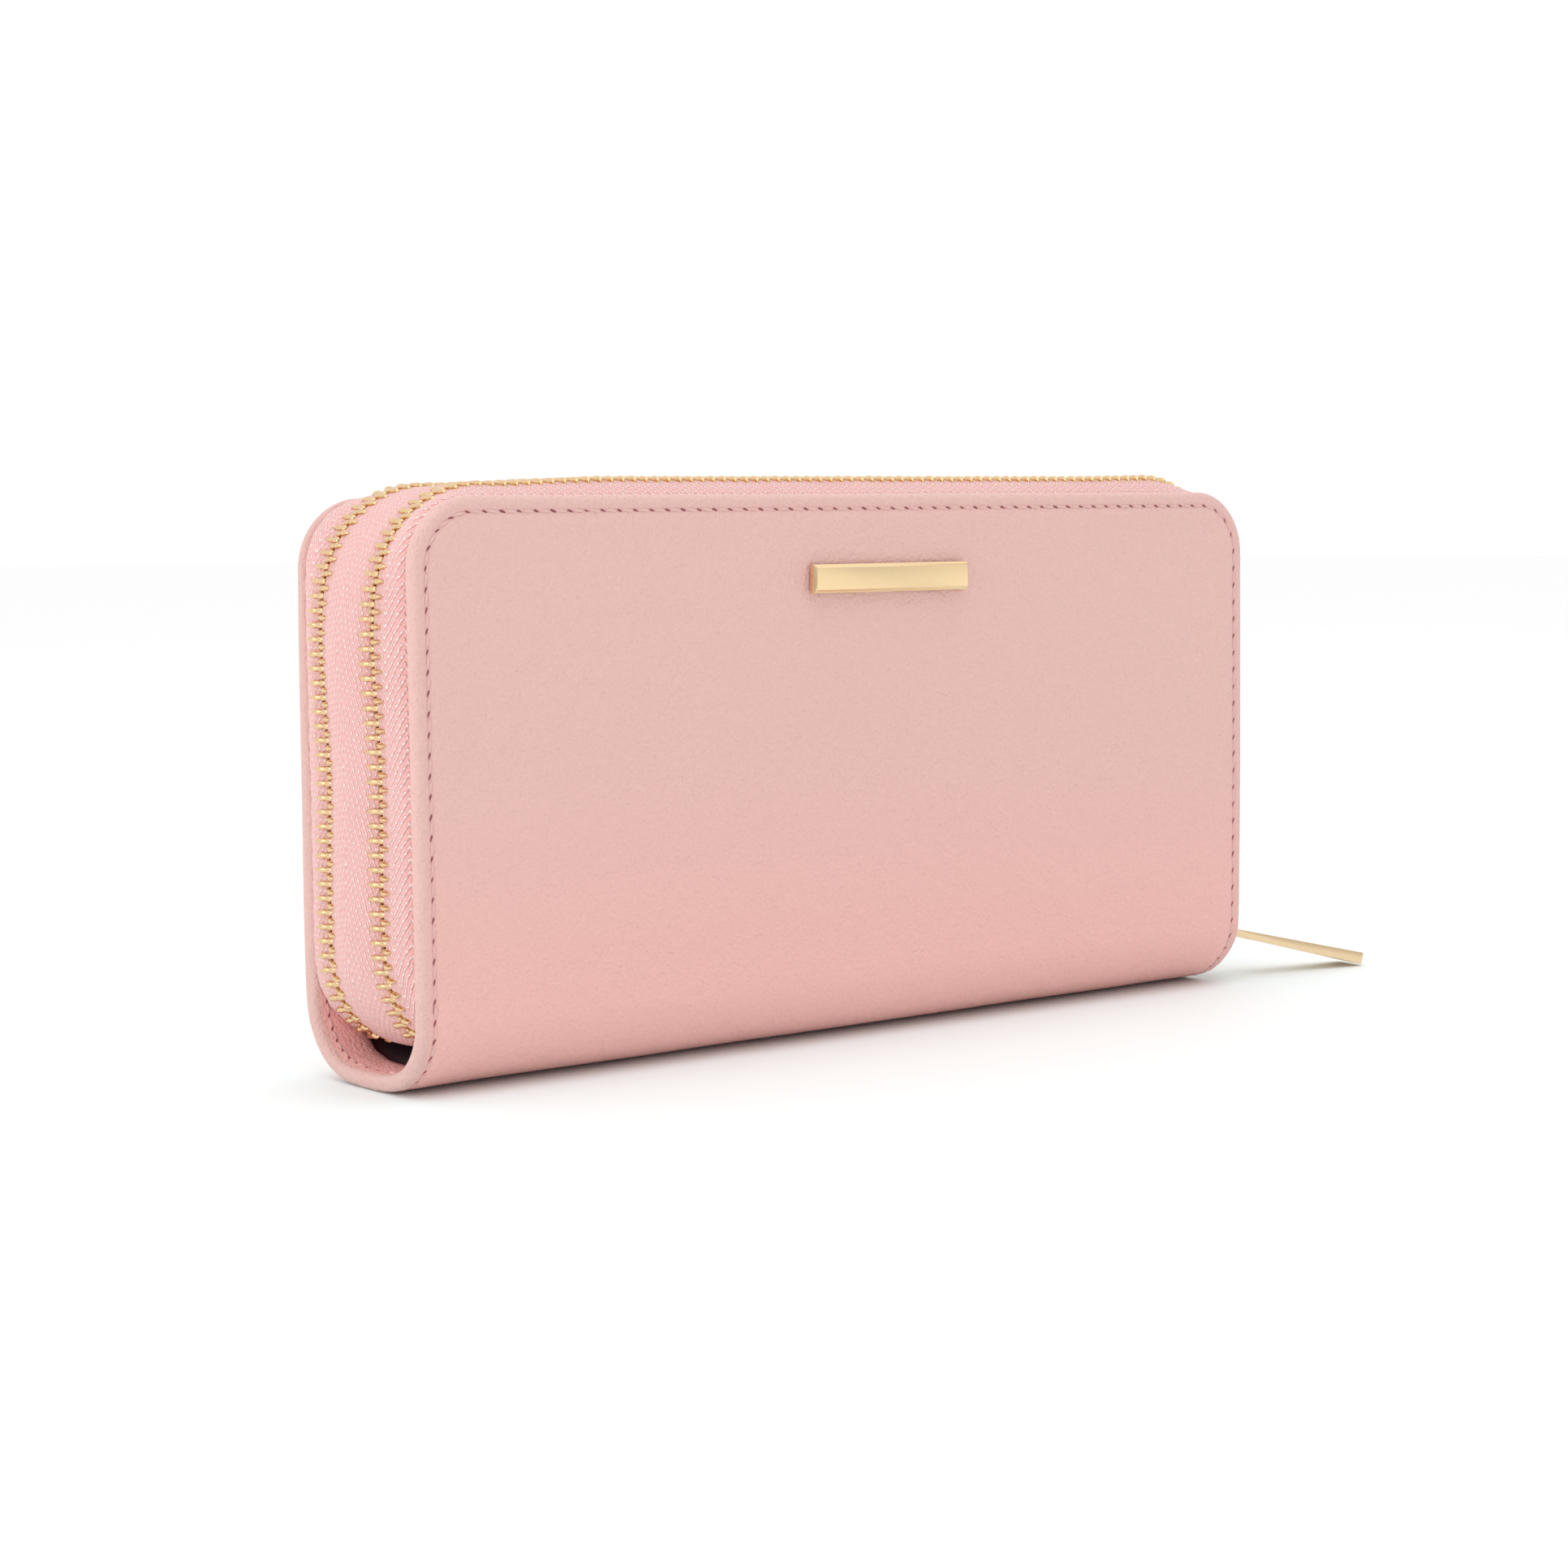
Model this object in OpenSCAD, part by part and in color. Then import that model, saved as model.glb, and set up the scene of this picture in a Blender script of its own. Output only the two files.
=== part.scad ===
/* [Wallet] */
// Length of the wallet from end to end
wallet_l = 195; // [185:1:205]
// Height of the leather covers above the surface they stand on
wallet_h = 99.8; // [96:0.2:106]
// Depth over both covers when closed
wallet_d = 38.4; // [37.6:0.2:40]
// Radius of the covers' upper corners
corner_r = 12; // [9:0.5:14]
// Outer radius of the rounded spine
spine_r = 12.4; // [12:0.1:13]

/* [Leather] */
// Thickness of the outer leather
leather_t = 1.2; // [1:0.05:1.3]
// Thickness of the stiffening board in each cover
board_t = 0.8; // [0.6:0.05:0.9]
// Thickness of the lining
lining_t = 1.0; // [0.8:0.05:1.1]
// Width of the turned edge round each cover
rim_w = 3.2; // [2.6:0.2:4]
// Pitch of the edge stitching
stitch_pitch = 3.4; // [3:0.1:4.4]
// Distance of the edge stitching from the edge
stitch_inset = 2.7; // [2.2:0.1:3.2]

/* [Zips] */
// Distance of each zip's centre line from the middle of the wallet
zip_y = 8.4; // [8.2:0.1:8.6]
// Radius of the zips' bends
zip_r = 20; // [18:0.5:22]
// How far the tape stands out of the leather ends
zip_out_x = 0.5; // [0.3:0.1:0.8]
// How far the tape stands above the leather's top edge
zip_out_z = 2.3; // [1.8:0.1:2.6]
// Pitch of the teeth along one side of a zip
tooth_pitch = 2.45; // [2.4:0.05:2.7]
// Length of one tooth along the zip
tooth_l = 1.0; // [0.9:0.02:1.06]
// Half the thickness of a tooth
tooth_h = 1.2; // [1.1:0.05:1.3]
// Half the thickness of the zip tape
tape_h = 0.45; // [0.35:0.05:0.45]

/* [Sliders and pullers] */
// Length of a slider along the zip
slider_l = 11; // [10.6:0.1:11.4]
// Half the width of a slider
slider_w = 4.6; // [4.4:0.1:4.7]
// Length of a puller from its pin to its tip
puller_l = 35.6; // [34:0.2:37]
// Width of a puller at its root
puller_w0 = 5.4; // [5.2:0.1:6]
// Width of a puller at its tip
puller_w1 = 8; // [7:0.1:9]
// Thickness of a puller at its root
puller_t0 = 1.5; // [1.4:0.1:1.6]
// Thickness of a puller at its tip
puller_t1 = 2.4; // [2:0.1:2.5]
// Radius of the puller's cross pin
pin_r = 0.7; // [0.6:0.05:0.75]
// Angle of the front puller below level
puller_drop = 13.6; // [12.8:0.2:13.8]
// Turn of the front puller towards the front
front_turn = 10; // [0:1:12]
// Angle of the back puller above level, where it stands up along its zip
back_lift = 80; // [70:1:82]

/* [Interior] */
// Thickness of one card pocket leaf
leaf_t = 0.4; // [0.35:0.05:0.45]
// Space behind each card pocket leaf
leaf_gap = 0.2; // [0.15:0.05:0.2]
// Width of one column of card pockets
pocket_w = 80; // [76:1:81]
// Half the thickness of the centre divider
divider_h = 1.0; // [0.8:0.1:1]
// Depth of the coin pocket's hollow
coin_depth = 2.2; // [1.8:0.1:2.4]

/* [Badge] */
// Width of the metal badge
badge_w = 36.9; // [30:0.1:40]
// Height of the metal badge
badge_h = 5.2; // [4:0.1:7]
// How far the badge stands off the leather
badge_t = 1.5; // [1.2:0.1:2]

/* [Hidden] */
$fn = 64;
e = 0.01;

hl = wallet_l / 2;
hd = wallet_d / 2;
cover_t = leather_t + board_t + lining_t;
hinge_y = hd - leather_t / 2;
hinge_z = spine_r;
spine_c = hd - spine_r;
xt = hl + zip_out_x;
zt = wallet_h + zip_out_z;
tail_z = 24;
tail_a = 50;
right_end = 8.5;
floor_z = hinge_z - 0.2;
in_y = hd - cover_t;
pink = [0.80, 0.52, 0.47];
pink_in = [0.72, 0.46, 0.42];
tape_c = [0.89, 0.60, 0.55];
gold = [0.86, 0.68, 0.38];

// zip path: the left tail, the left end, a bend, the top, a bend and the right end
s_tail = zip_r * tail_a * PI / 180;
s_left = s_tail + (zt - zip_r - tail_z);
s_bend = s_left + zip_r * PI / 2;
s_top = s_bend + 2 * (xt - zip_r);
s_bend2 = s_top + zip_r * PI / 2;
s_end = s_bend2 + (zt - zip_r - right_end);
first_s = 0.8;
last_s = s_end - 2.4;

// place a piece at arc length s: local +X outwards, +Y across, +Z along the path
module along(s) {
    if (s < s_tail)
        translate([-xt + zip_r, 0, tail_z]) rotate([0, -(s_tail - s) / zip_r * 180 / PI, 0]) translate([-zip_r, 0, 0]) mirror([1, 0, 0]) children();
    else if (s < s_left)
        translate([-xt, 0, tail_z + s - s_tail]) mirror([1, 0, 0]) children();
    else if (s < s_bend)
        translate([-xt + zip_r, 0, zt - zip_r]) rotate([0, (s - s_left) / zip_r * 180 / PI, 0]) translate([-zip_r, 0, 0]) mirror([1, 0, 0]) children();
    else if (s < s_top)
        translate([-xt + zip_r + s - s_bend, 0, zt]) rotate([0, 90, 0]) mirror([1, 0, 0]) children();
    else if (s < s_bend2)
        translate([xt - zip_r, 0, zt - zip_r]) rotate([0, 90 + (s - s_top) / zip_r * 180 / PI, 0]) translate([-zip_r, 0, 0]) mirror([1, 0, 0]) children();
    else
        translate([xt, 0, zt - zip_r - (s - s_bend2)]) rotate([0, 180, 0]) mirror([1, 0, 0]) children();
}

// sweep a section, drawn as (outward, across), round the ends and the top
module bend_right(a = 90) {
    rotate([-90, 0, 0]) rotate([0, 0, -90]) rotate_extrude(angle = a, $fn = 96) translate([zip_r, 0]) children();
}
module sweep_main(z0_left, z0_right) {
    for (m = [0, 1]) mirror([m, 0, 0]) {
        translate([xt, 0, m ? z0_left : z0_right]) linear_extrude(zt - zip_r - (m ? z0_left : z0_right)) children();
        translate([xt - zip_r, 0, zt - zip_r]) bend_right() children();
    }
    translate([xt - zip_r, 0, zt]) rotate([0, -90, 0]) linear_extrude(2 * (xt - zip_r)) children();
}
// the left tail's curve inwards under the left end
module sweep_tail() {
    mirror([1, 0, 0]) translate([xt - zip_r, 0, tail_z]) rotate([-90, 0, 0]) rotate_extrude(angle = tail_a, $fn = 96) translate([zip_r, 0]) children();
}

// a plate drawn in (x, z) between two depths
module slab(y0, y1) {
    translate([0, y1, 0]) rotate([90, 0, 0]) linear_extrude(y1 - y0) children();
}
module cover_2d(i, zb) {
    translate([-hl + i, zb]) square([wallet_l - 2 * i, wallet_h - corner_r - zb]);
    translate([-hl + corner_r, zb]) square([wallet_l - 2 * corner_r, wallet_h - i - zb]);
    for (s = [-1, 1]) translate([s * (hl - corner_r), wallet_h - corner_r]) circle(r = corner_r - i);
}
module back_side() { mirror([0, 1, 0]) children(); }

module cover_leather(badge_holes = false) {
    color(pink) difference() {
        union() {
            slab(-hd, -in_y) cover_2d(0, hinge_z);
            translate([-hl, -hinge_y, hinge_z]) rotate([0, 90, 0]) cylinder(r = leather_t / 2, h = wallet_l);
        }
        slab(-hd + leather_t, -in_y + 1) cover_2d(rim_w, hinge_z - 2);
        translate([-hl - 1, -hd + leather_t, hinge_z - 2]) cube([wallet_l + 2, 4, 3.2]);
        if (badge_holes) for (s = [-1, 1]) translate([badge_x + s * 13, -hd - 1, badge_z]) rotate([-90, 0, 0]) cylinder(r = 0.65, h = 4);
    }
}
module cover_board() {
    color([0.62, 0.55, 0.45]) slab(-hd + leather_t, -hd + leather_t + board_t) cover_2d(rim_w, hinge_z + 2.6);
}
module cover_lining() {
    color(pink_in) slab(-hd + leather_t + board_t, -in_y) cover_2d(rim_w, hinge_z + 1.2);
}

module u_2d(r, zc) {
    // section of the spine in (y, z), closed at the bottom
    difference() {
        union() {
            for (s = [-1, 1]) translate([s * spine_c, hinge_z]) circle(r = r);
            translate([-spine_c, hinge_z - r]) square([2 * spine_c, 2 * r]);
        }
        translate([-50, zc]) square([100, 50]);
    }
}
module along_x(l) { rotate([90, 0, 90]) translate([0, 0, -l / 2]) linear_extrude(l) children(); }
module spine_leather() {
    color(pink) difference() {
        along_x(wallet_l) difference() { u_2d(spine_r, hinge_z); u_2d(spine_r - leather_t, hinge_z + 1); }
        for (s = [-1, 1]) translate([-hl - 1, s * hinge_y, hinge_z]) rotate([0, 90, 0]) cylinder(r = leather_t / 2 + 0.08, h = wallet_l + 2);
    }
}
module spine_lining() {
    color(pink_in) along_x(wallet_l - 1) difference() {
        u_2d(spine_r - leather_t, hinge_z - 0.2);
        u_2d(spine_r - leather_t - lining_t, hinge_z + 1);
    }
}
floor_w = spine_c + sqrt(pow(spine_r - leather_t - lining_t, 2) - 1.2 * 1.2) - 0.02;
module inner_floor() {
    color(pink_in) translate([-hl + 6.6, -floor_w, floor_z - 1]) cube([wallet_l - 11.1, 2 * floor_w, 1]);
}
module centre_divider() {
    i = tape_h;
    color(pink_in) slab(-divider_h, divider_h) {
        translate([-xt + i, tail_z]) square([2 * xt - 2 * i, zt - zip_r - tail_z]);
        translate([-xt + zip_r, floor_z]) square([2 * xt - 2 * zip_r, zt - i - floor_z]);
        translate([0, floor_z]) square([xt - i, zt - zip_r - floor_z]);
        for (s = [-1, 1]) translate([s * (xt - zip_r), zt - zip_r]) circle(r = zip_r - i, $fn = 96);
        difference() {
            translate([-xt + zip_r, tail_z]) circle(r = zip_r - i, $fn = 96);
            translate([-xt - 1, -50]) square([2 * zip_r + 2, 50 + floor_z]);
        }
    }
}
band_y = zip_y - 1.35;
module middle_band() {
    color(tape_c) {
        sweep_main(tail_z, right_end) translate([-tape_h, -band_y]) square([2 * tape_h, 2 * band_y]);
        sweep_tail() translate([-tape_h, -band_y]) square([2 * tape_h, 2 * band_y]);
    }
}

// tape between a cover's inner face and its row of teeth
module tape_2d() {
    polygon([[-7, -in_y], [-2, -in_y], [tape_h, -zip_y - 5], [tape_h, -zip_y - 1.35], [-tape_h, -zip_y - 1.35],
             [-tape_h, -zip_y - 4.8], [-2.6, -in_y + 0.7], [-7, -in_y + 0.7]]);
}
module outer_tape() { color(tape_c) sweep_main(tail_z, tail_z) tape_2d(); }
module tail_tapes() {
    color(tape_c) {
        translate([0, 0, -0.05]) {
            sweep_tail() translate([-tape_h, -in_y + 0.4]) square([2 * tape_h, in_y - 0.4 - zip_y - 1.35]);
            translate([xt, 0, 5.65]) linear_extrude(tail_z - 5.65) translate([-tape_h, -in_y + 0.4]) square([2 * tape_h, in_y - 0.4 - zip_y - 1.35]);
        }
        translate([xt - tape_h, -zip_y - 2.2, 5.6]) cube([2 * tape_h, 4.4, 1.8]);
    }
}

// one tooth: jaws on both faces of the tape and a head across the centre line
module tooth_2d() {
    polygon([[tooth_h, -3], [tooth_h, -0.9], [0.8, -0.6], [0.8, 0.25], [-0.8, 0.25], [-0.8, -0.6], [-tooth_h, -0.9], [-tooth_h, -3],
             [-tape_h - 0.05, -3], [-tape_h - 0.05, -1.3], [tape_h + 0.05, -1.3], [tape_h + 0.05, -3]]);
}
module teeth(s0, s1, phase, side) {
    n0 = ceil((s0 - first_s) / tooth_pitch - phase);
    n1 = floor((s1 - first_s) / tooth_pitch - phase);
    color(gold) for (i = [n0:n1])
        along(first_s + (i + phase) * tooth_pitch) translate([0, -zip_y, -tooth_l / 2]) linear_extrude(tooth_l) mirror([0, side, 0]) tooth_2d();
}
tail_s_right = s_end - (tail_z - right_end);
module outer_teeth() { teeth(s_tail + 0.6, tail_s_right - 0.6, 0, 0); }
module inner_teeth() { teeth(first_s, last_s, 0.5, 1); }
module tail_teeth() {
    teeth(first_s, s_tail + 0.6 - e, 0, 0);
    teeth(tail_s_right - 0.6 + e, last_s, 0, 0);
}
module zip_stops() {
    color(gold) for (s = [-1, 1]) {
        translate([xt, s * zip_y, 5.8]) difference() {
            translate([-tooth_h, -2.1, 0]) cube([2 * tooth_h, 4.2, 1.5]);
            translate([-tape_h - 0.01, -3, -1]) cube([2 * tape_h + 0.02, 6, 4]);
        }
    }
}

// slider: two plates joined by a wedge at the nose, with flanges round the chain; local +X outwards, +Z along the zip
plate_in = tooth_h + 0.4;
plate_t = 1.2;
top_x = plate_in + plate_t;
module plate_2d() {
    difference() {
        translate([-slider_w, 0]) square([2 * slider_w, slider_l]);
        for (s = [-1, 1]) {
            translate([s * (slider_w + 0.9), slider_l + 1.2]) rotate(s * 24) square([3.2, 9], center = true);
            translate([s * slider_w, -0.2]) rotate(-s * 38) square([2.2, 2.8], center = true);
        }
    }
}
module slider_plates() {
    for (m = [0, 1]) mirror([m, 0, 0]) {
        translate([plate_in, 0, 0]) rotate([90, 0, 90]) linear_extrude(plate_t) plate_2d();
        for (s = [-1, 1]) translate([plate_in - 0.9 + e, s * 3.95 - 0.62, 1.2]) cube([0.9, 1.24, slider_l - 3.6]);
    }
    translate([0, 0, 0.1]) rotate([90, 0, 90]) translate([0, 0, -plate_in - e]) linear_extrude(2 * plate_in + 2 * e)
        polygon([[-0.9, 0], [0.9, 0], [1.3, 0.8], [0.3, 2.6], [-0.3, 2.6], [-1.3, 0.8]]);
}
bail_x = top_x + 1.5;
module bail_2d() {
    // in (x, z): an arch over the outer plate with a slot for the puller's pin
    difference() {
        union() {
            for (z = [2.25, 7.6]) translate([bail_x, z]) circle(r = 2.25);
            translate([bail_x - 2.25, 2.25]) square([4.5, 5.35]);
        }
        translate([-10, -10]) square([10 + top_x, 30]);
        for (z = [2.25, 7.2]) translate([bail_x, z]) circle(r = 1.12);
        translate([bail_x - 1.12, 2.25]) square([2.24, 4.95]);
    }
}
module slider_bail() { translate([0, 1.1, 0]) rotate([90, 0, 0]) linear_extrude(2.2) bail_2d(); }
slider_z = 7.5;
pivot_z = slider_z + 2.25;
pivot_x = xt + bail_x;
module at_slider() { translate([xt, -zip_y, slider_z]) children(); }

// puller lying along +X from its pin, which runs along Y
module puller_shape(l, w0, w1, t0, t1, win_w, win_l, r) {
    difference() {
        intersection() {
            translate([0, 0, -5]) linear_extrude(10) polygon([[-0.2, -w0 / 2], [0.4, -w0 / 2], [6, -w0 / 2], [l - 0.8, -w1 / 2], [l, -w1 / 2 + 0.8],
                [l, w1 / 2 - 0.8], [l - 0.8, w1 / 2], [6, w0 / 2], [0.4, w0 / 2], [-0.2, w0 / 2]]);
            translate([0, 10, 0]) rotate([90, 0, 0]) linear_extrude(20) polygon([[-0.2, -t0 / 2], [3, -t0 / 2], [l - 0.4, -t1 / 2], [l, -t1 / 2 + 0.4],
                [l, t1 / 2 - 0.4], [l - 0.4, t1 / 2], [3, t0 / 2], [-0.2, t0 / 2]]);
        }
        translate([-1, -win_w / 2, -5]) cube([win_l + 1, win_w, 10]);
        translate([0, 10, 0]) rotate([90, 0, 0]) cylinder(r = r - 0.02, h = 20);
    }
    translate([0, w0 / 2, 0]) rotate([90, 0, 0]) cylinder(r = r, h = w0);
}
module main_puller() { color(gold) puller_shape(puller_l, puller_w0, puller_w1, puller_t0, puller_t1, 3.8, 8.2, pin_r); }
module front_puller() {
    translate([pivot_x, -zip_y, pivot_z]) rotate([0, 0, -front_turn]) rotate([0, puller_drop, 0]) main_puller();
}
module back_puller() {
    translate([pivot_x, zip_y, pivot_z]) rotate([0, -back_lift, 0]) main_puller();
}

// card pocket leaf, open at the top, standing on the plane y = 0 and growing towards -Y
module leaf(w, h) {
    difference() {
        translate([-w / 2, -leaf_t - leaf_gap, 0]) cube([w, leaf_t + leaf_gap, h]);
        translate([-w / 2 + 2, -leaf_gap, 2]) cube([w - 4, leaf_gap + 1, h]);
    }
}
module pocket_stack(n) {
    color(pink_in) for (s = [-1, 1], k = [0:n - 1])
        translate([s * (pocket_w / 2 + 1), -k * (leaf_t + leaf_gap), 0]) leaf(pocket_w, 62 - 10 * k);
}
module front_card_pockets() { translate([0, -in_y + 0, 17]) mirror([0, 1, 0]) pocket_stack(4); }
module divider_card_pockets() { translate([0, -divider_h, 17]) pocket_stack(4); }
module note_pocket() { color(pink_in) translate([0, in_y, 17]) leaf(162, 58); }

coin_y = divider_h + coin_depth;
coin_z = 76;
module coin_pocket() {
    color(pink_in) difference() {
        translate([-72, divider_h, 17]) cube([144, coin_depth + 0.8, 72]);
        translate([-70, divider_h - 1, 19]) cube([140, coin_depth + 1, 68]);
        translate([-54, 0, coin_z - 4]) cube([108, 10, 8]);
    }
}
module coin_zip_tape() {
    color(tape_c) for (s = [-1, 1]) translate([-54, coin_y + 0.1, s > 0 ? coin_z + 0.7 : coin_z - 4]) cube([108, 0.6, 3.3]);
}
module coin_zip_teeth() {
    color(gold) for (i = [0:49], s = [-1, 1])
        translate([-49 + 2 * i + (s > 0 ? 1 : 0), coin_y - 0.3, s > 0 ? coin_z - 0.12 : coin_z - 1.38]) difference() {
            cube([0.8, 1.4, 1.5]);
            translate([-1, 0.38, s > 0 ? 0.8 : -0.3]) cube([3, 0.64, 1]);
        }
}
coin_sx = -43.4;
module coin_slider_body() {
    // two plates round the small chain, joined at the nose
    color(gold) translate([coin_sx, coin_y + 0.4, coin_z]) {
        for (s = [-1, 1]) translate([-7.5, s > 0 ? 1.0 : -1.7, -2.6]) cube([7.2, 0.7, 5.2]);
        translate([-7.4, -1.1, -0.7]) cube([1.6, 2.2, 1.4]);
    }
}
coin_px = coin_sx - 5.4;
coin_py = coin_y + 0.4 + 1.7 + 0.75;
module coin_slider_bail() {
    color(gold) translate([0, 0, coin_z - 0.7]) linear_extrude(1.4) difference() {
        union() {
            for (x = [0, 2.6]) translate([coin_px + x, coin_py]) circle(r = 1.35);
            translate([coin_px, coin_py - 1.35]) square([2.6, 2.7]);
        }
        translate([coin_px - 5, coin_py - 5.75]) square([12, 5]);
        for (x = [0, 2.4]) translate([coin_px + x, coin_py]) circle(r = 0.72);
        translate([coin_px, coin_py - 0.72]) square([2.4, 1.44]);
    }
}
module coin_puller() {
    // lies along the chain past the slider's nose; its pin runs up the pocket
    color(gold) translate([coin_px, coin_py, coin_z]) rotate([90, 0, 180])
        puller_shape(8.6, 3.6, 4.2, 0.9, 1.1, 2.0, 3.4, 0.45);
}

// fabric gusset with one fold, sewn between a cover and the divider
module gusset() {
    a = [-hl + 5, -in_y + 1.0];
    b = [-hl + 29.5, -8.9];
    c = [-hl + 5, -divider_h - 0.45];
    color(pink_in) translate([0, 0, 14]) linear_extrude(66) polygon([a + [0, 0.25], [b[0] - 0.6, b[1]], c + [0, -0.25], c + [0, 0.25], [b[0] + 0.4, b[1]], a + [0, -0.25]]);
}

// plain bar badge on two prongs
badge_x = 3.45;
badge_z = 84.6;
module badge_bar() {
    color(gold) translate([badge_x, -hd - 0.5, badge_z]) difference() {
        translate([-badge_w / 2, -badge_t, -badge_h / 2]) cube([badge_w, badge_t, badge_h]);
        for (sx = [-1, 1]) translate([sx * badge_w / 2, -badge_t, 0]) rotate([0, 0, sx * 45]) cube([0.7, 0.9, 20], center = true);
        for (sz = [-1, 1]) translate([0, -badge_t, sz * badge_h / 2]) rotate([sz * 45, 0, 0]) cube([60, 0.9, 0.9], center = true);
    }
}
module badge_prongs() {
    color(gold) for (s = [-1, 1]) translate([badge_x + s * 13, -hd - 0.5, badge_z]) rotate([-90, 0, 0]) {
        difference() {
            cylinder(r = 1.6, h = 0.5);
            cylinder(r = 0.6, h = 9, center = true);
        }
    }
}
module badge_clips() {
    color([0.75, 0.75, 0.72]) for (s = [-1, 1]) translate([badge_x + s * 13, -hd - 0.5, badge_z]) rotate([-90, 0, 0]) cylinder(r = 0.6, h = 0.5 + leather_t);
}

// edge stitching: up the left edge, along the top and down the right edge
sr = corner_r - stitch_inset;
st_v = wallet_h - corner_r - hinge_z - 1;
st_a = sr * PI / 2;
st_h = wallet_l - 2 * corner_r;
st_total = 2 * st_v + 2 * st_a + st_h;
st_n = floor(st_total / stitch_pitch);
module stitch() { translate([-0.22, -0.14, -1.15]) cube([0.44, 0.14, 2.3]); }
module stitch_at(s) {
    x = hl - stitch_inset;
    if (s < st_v) translate([-x, 0, hinge_z + 1 + s]) stitch();
    else if (s < st_v + st_a) translate([-hl + corner_r, 0, wallet_h - corner_r]) rotate([0, (s - st_v) / sr * 180 / PI, 0]) translate([-sr, 0, 0]) stitch();
    else if (s < st_v + st_a + st_h) translate([-hl + corner_r + s - st_v - st_a, 0, wallet_h - stitch_inset]) rotate([0, 90, 0]) stitch();
    else if (s < st_v + 2 * st_a + st_h) translate([hl - corner_r, 0, wallet_h - corner_r]) rotate([0, 90 + (s - st_v - st_a - st_h) / sr * 180 / PI, 0]) translate([-sr, 0, 0]) stitch();
    else translate([x, 0, wallet_h - corner_r - (s - st_v - 2 * st_a - st_h)]) stitch();
}
module stitching() {
    color([0.83, 0.56, 0.5]) for (i = [0:st_n - 1]) translate([0, -hd, 0]) stitch_at((i + 0.5) * st_total / st_n);
}

cover_leather(true);  // front_cover_leather
cover_board();  // front_cover_board
cover_lining();  // front_cover_lining
back_side() cover_leather();  // back_cover_leather
back_side() cover_board();  // back_cover_board
back_side() cover_lining();  // back_cover_lining
spine_leather();
spine_lining();
inner_floor();
centre_divider();
middle_band();
outer_tape();  // front_zip_tape
back_side() outer_tape();  // back_zip_tape
outer_teeth();  // front_outer_teeth
back_side() outer_teeth();  // back_outer_teeth
inner_teeth();  // front_inner_teeth
back_side() inner_teeth();  // back_inner_teeth
tail_tapes();  // front_tail_tapes
back_side() tail_tapes();  // back_tail_tapes
tail_teeth();  // front_tail_teeth
back_side() tail_teeth();  // back_tail_teeth
zip_stops();
color(gold) at_slider() slider_plates();  // front_slider_body
color(gold) at_slider() slider_bail();  // front_slider_bail
front_puller();
color(gold) back_side() at_slider() slider_plates();  // back_slider_body
color(gold) back_side() at_slider() slider_bail();  // back_slider_bail
back_puller();
front_card_pockets();
divider_card_pockets();
note_pocket();
coin_pocket();
coin_zip_tape();
coin_zip_teeth();
coin_slider_body();
coin_slider_bail();
coin_puller();
gusset();  // front_left_gusset
mirror([1, 0, 0]) gusset();  // front_right_gusset
back_side() gusset();  // back_left_gusset
back_side() mirror([1, 0, 0]) gusset();  // back_right_gusset
badge_bar();
badge_prongs();
badge_clips();
stitching();  // front_stitching
back_side() stitching();  // back_stitching
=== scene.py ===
import math
import bpy
import bmesh
import numpy as np
from mathutils import Matrix, Vector


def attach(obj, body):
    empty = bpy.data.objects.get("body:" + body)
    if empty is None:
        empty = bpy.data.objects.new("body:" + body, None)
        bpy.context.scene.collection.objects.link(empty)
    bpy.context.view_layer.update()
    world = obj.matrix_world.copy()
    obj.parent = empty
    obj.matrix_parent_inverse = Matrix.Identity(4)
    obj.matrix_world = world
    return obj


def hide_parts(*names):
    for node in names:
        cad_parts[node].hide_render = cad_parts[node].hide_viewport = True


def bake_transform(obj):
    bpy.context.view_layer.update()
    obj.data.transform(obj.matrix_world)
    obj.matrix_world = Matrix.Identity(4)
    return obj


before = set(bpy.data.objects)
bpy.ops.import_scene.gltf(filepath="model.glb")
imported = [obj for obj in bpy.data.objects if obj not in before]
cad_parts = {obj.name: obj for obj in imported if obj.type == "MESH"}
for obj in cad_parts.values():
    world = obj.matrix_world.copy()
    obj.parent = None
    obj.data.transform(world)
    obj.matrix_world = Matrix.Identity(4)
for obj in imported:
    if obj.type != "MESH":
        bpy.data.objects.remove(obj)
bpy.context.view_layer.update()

MM = 0.001
scene = bpy.context.scene
RNG = np.random.default_rng(7)

# ------------------------------------------------------------------ dimensions, mm (the same as the CAD model's)
HL, HD, HT = 97.5, 19.2, 99.8          # half length, half depth, height of the leather
RC = 12.0                               # corner radius of the covers
SR, SC = 12.4, 6.8                      # spine radius and its centre's distance from the middle
VH = SC + SR * math.pi / 2              # girth from the middle of the underside to the fold line
VT = VH + HT - SR                       # girth to the top edge
XT, ZT, ZR = 98.0, 102.1, 20.0          # zip path
TAIL_Z, TAIL_A, RIGHT_END = 24.0, 50.0, 8.5
ZY = 8.4                                # zip centre lines
PITCH = 2.45

S_TAIL = ZR * math.radians(TAIL_A)
S_LEFT = S_TAIL + (ZT - ZR - TAIL_Z)
S_BEND = S_LEFT + ZR * math.pi / 2
S_TOP = S_BEND + 2 * (XT - ZR)
S_BEND2 = S_TOP + ZR * math.pi / 2
S_END = S_BEND2 + (ZT - ZR - RIGHT_END)


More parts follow.
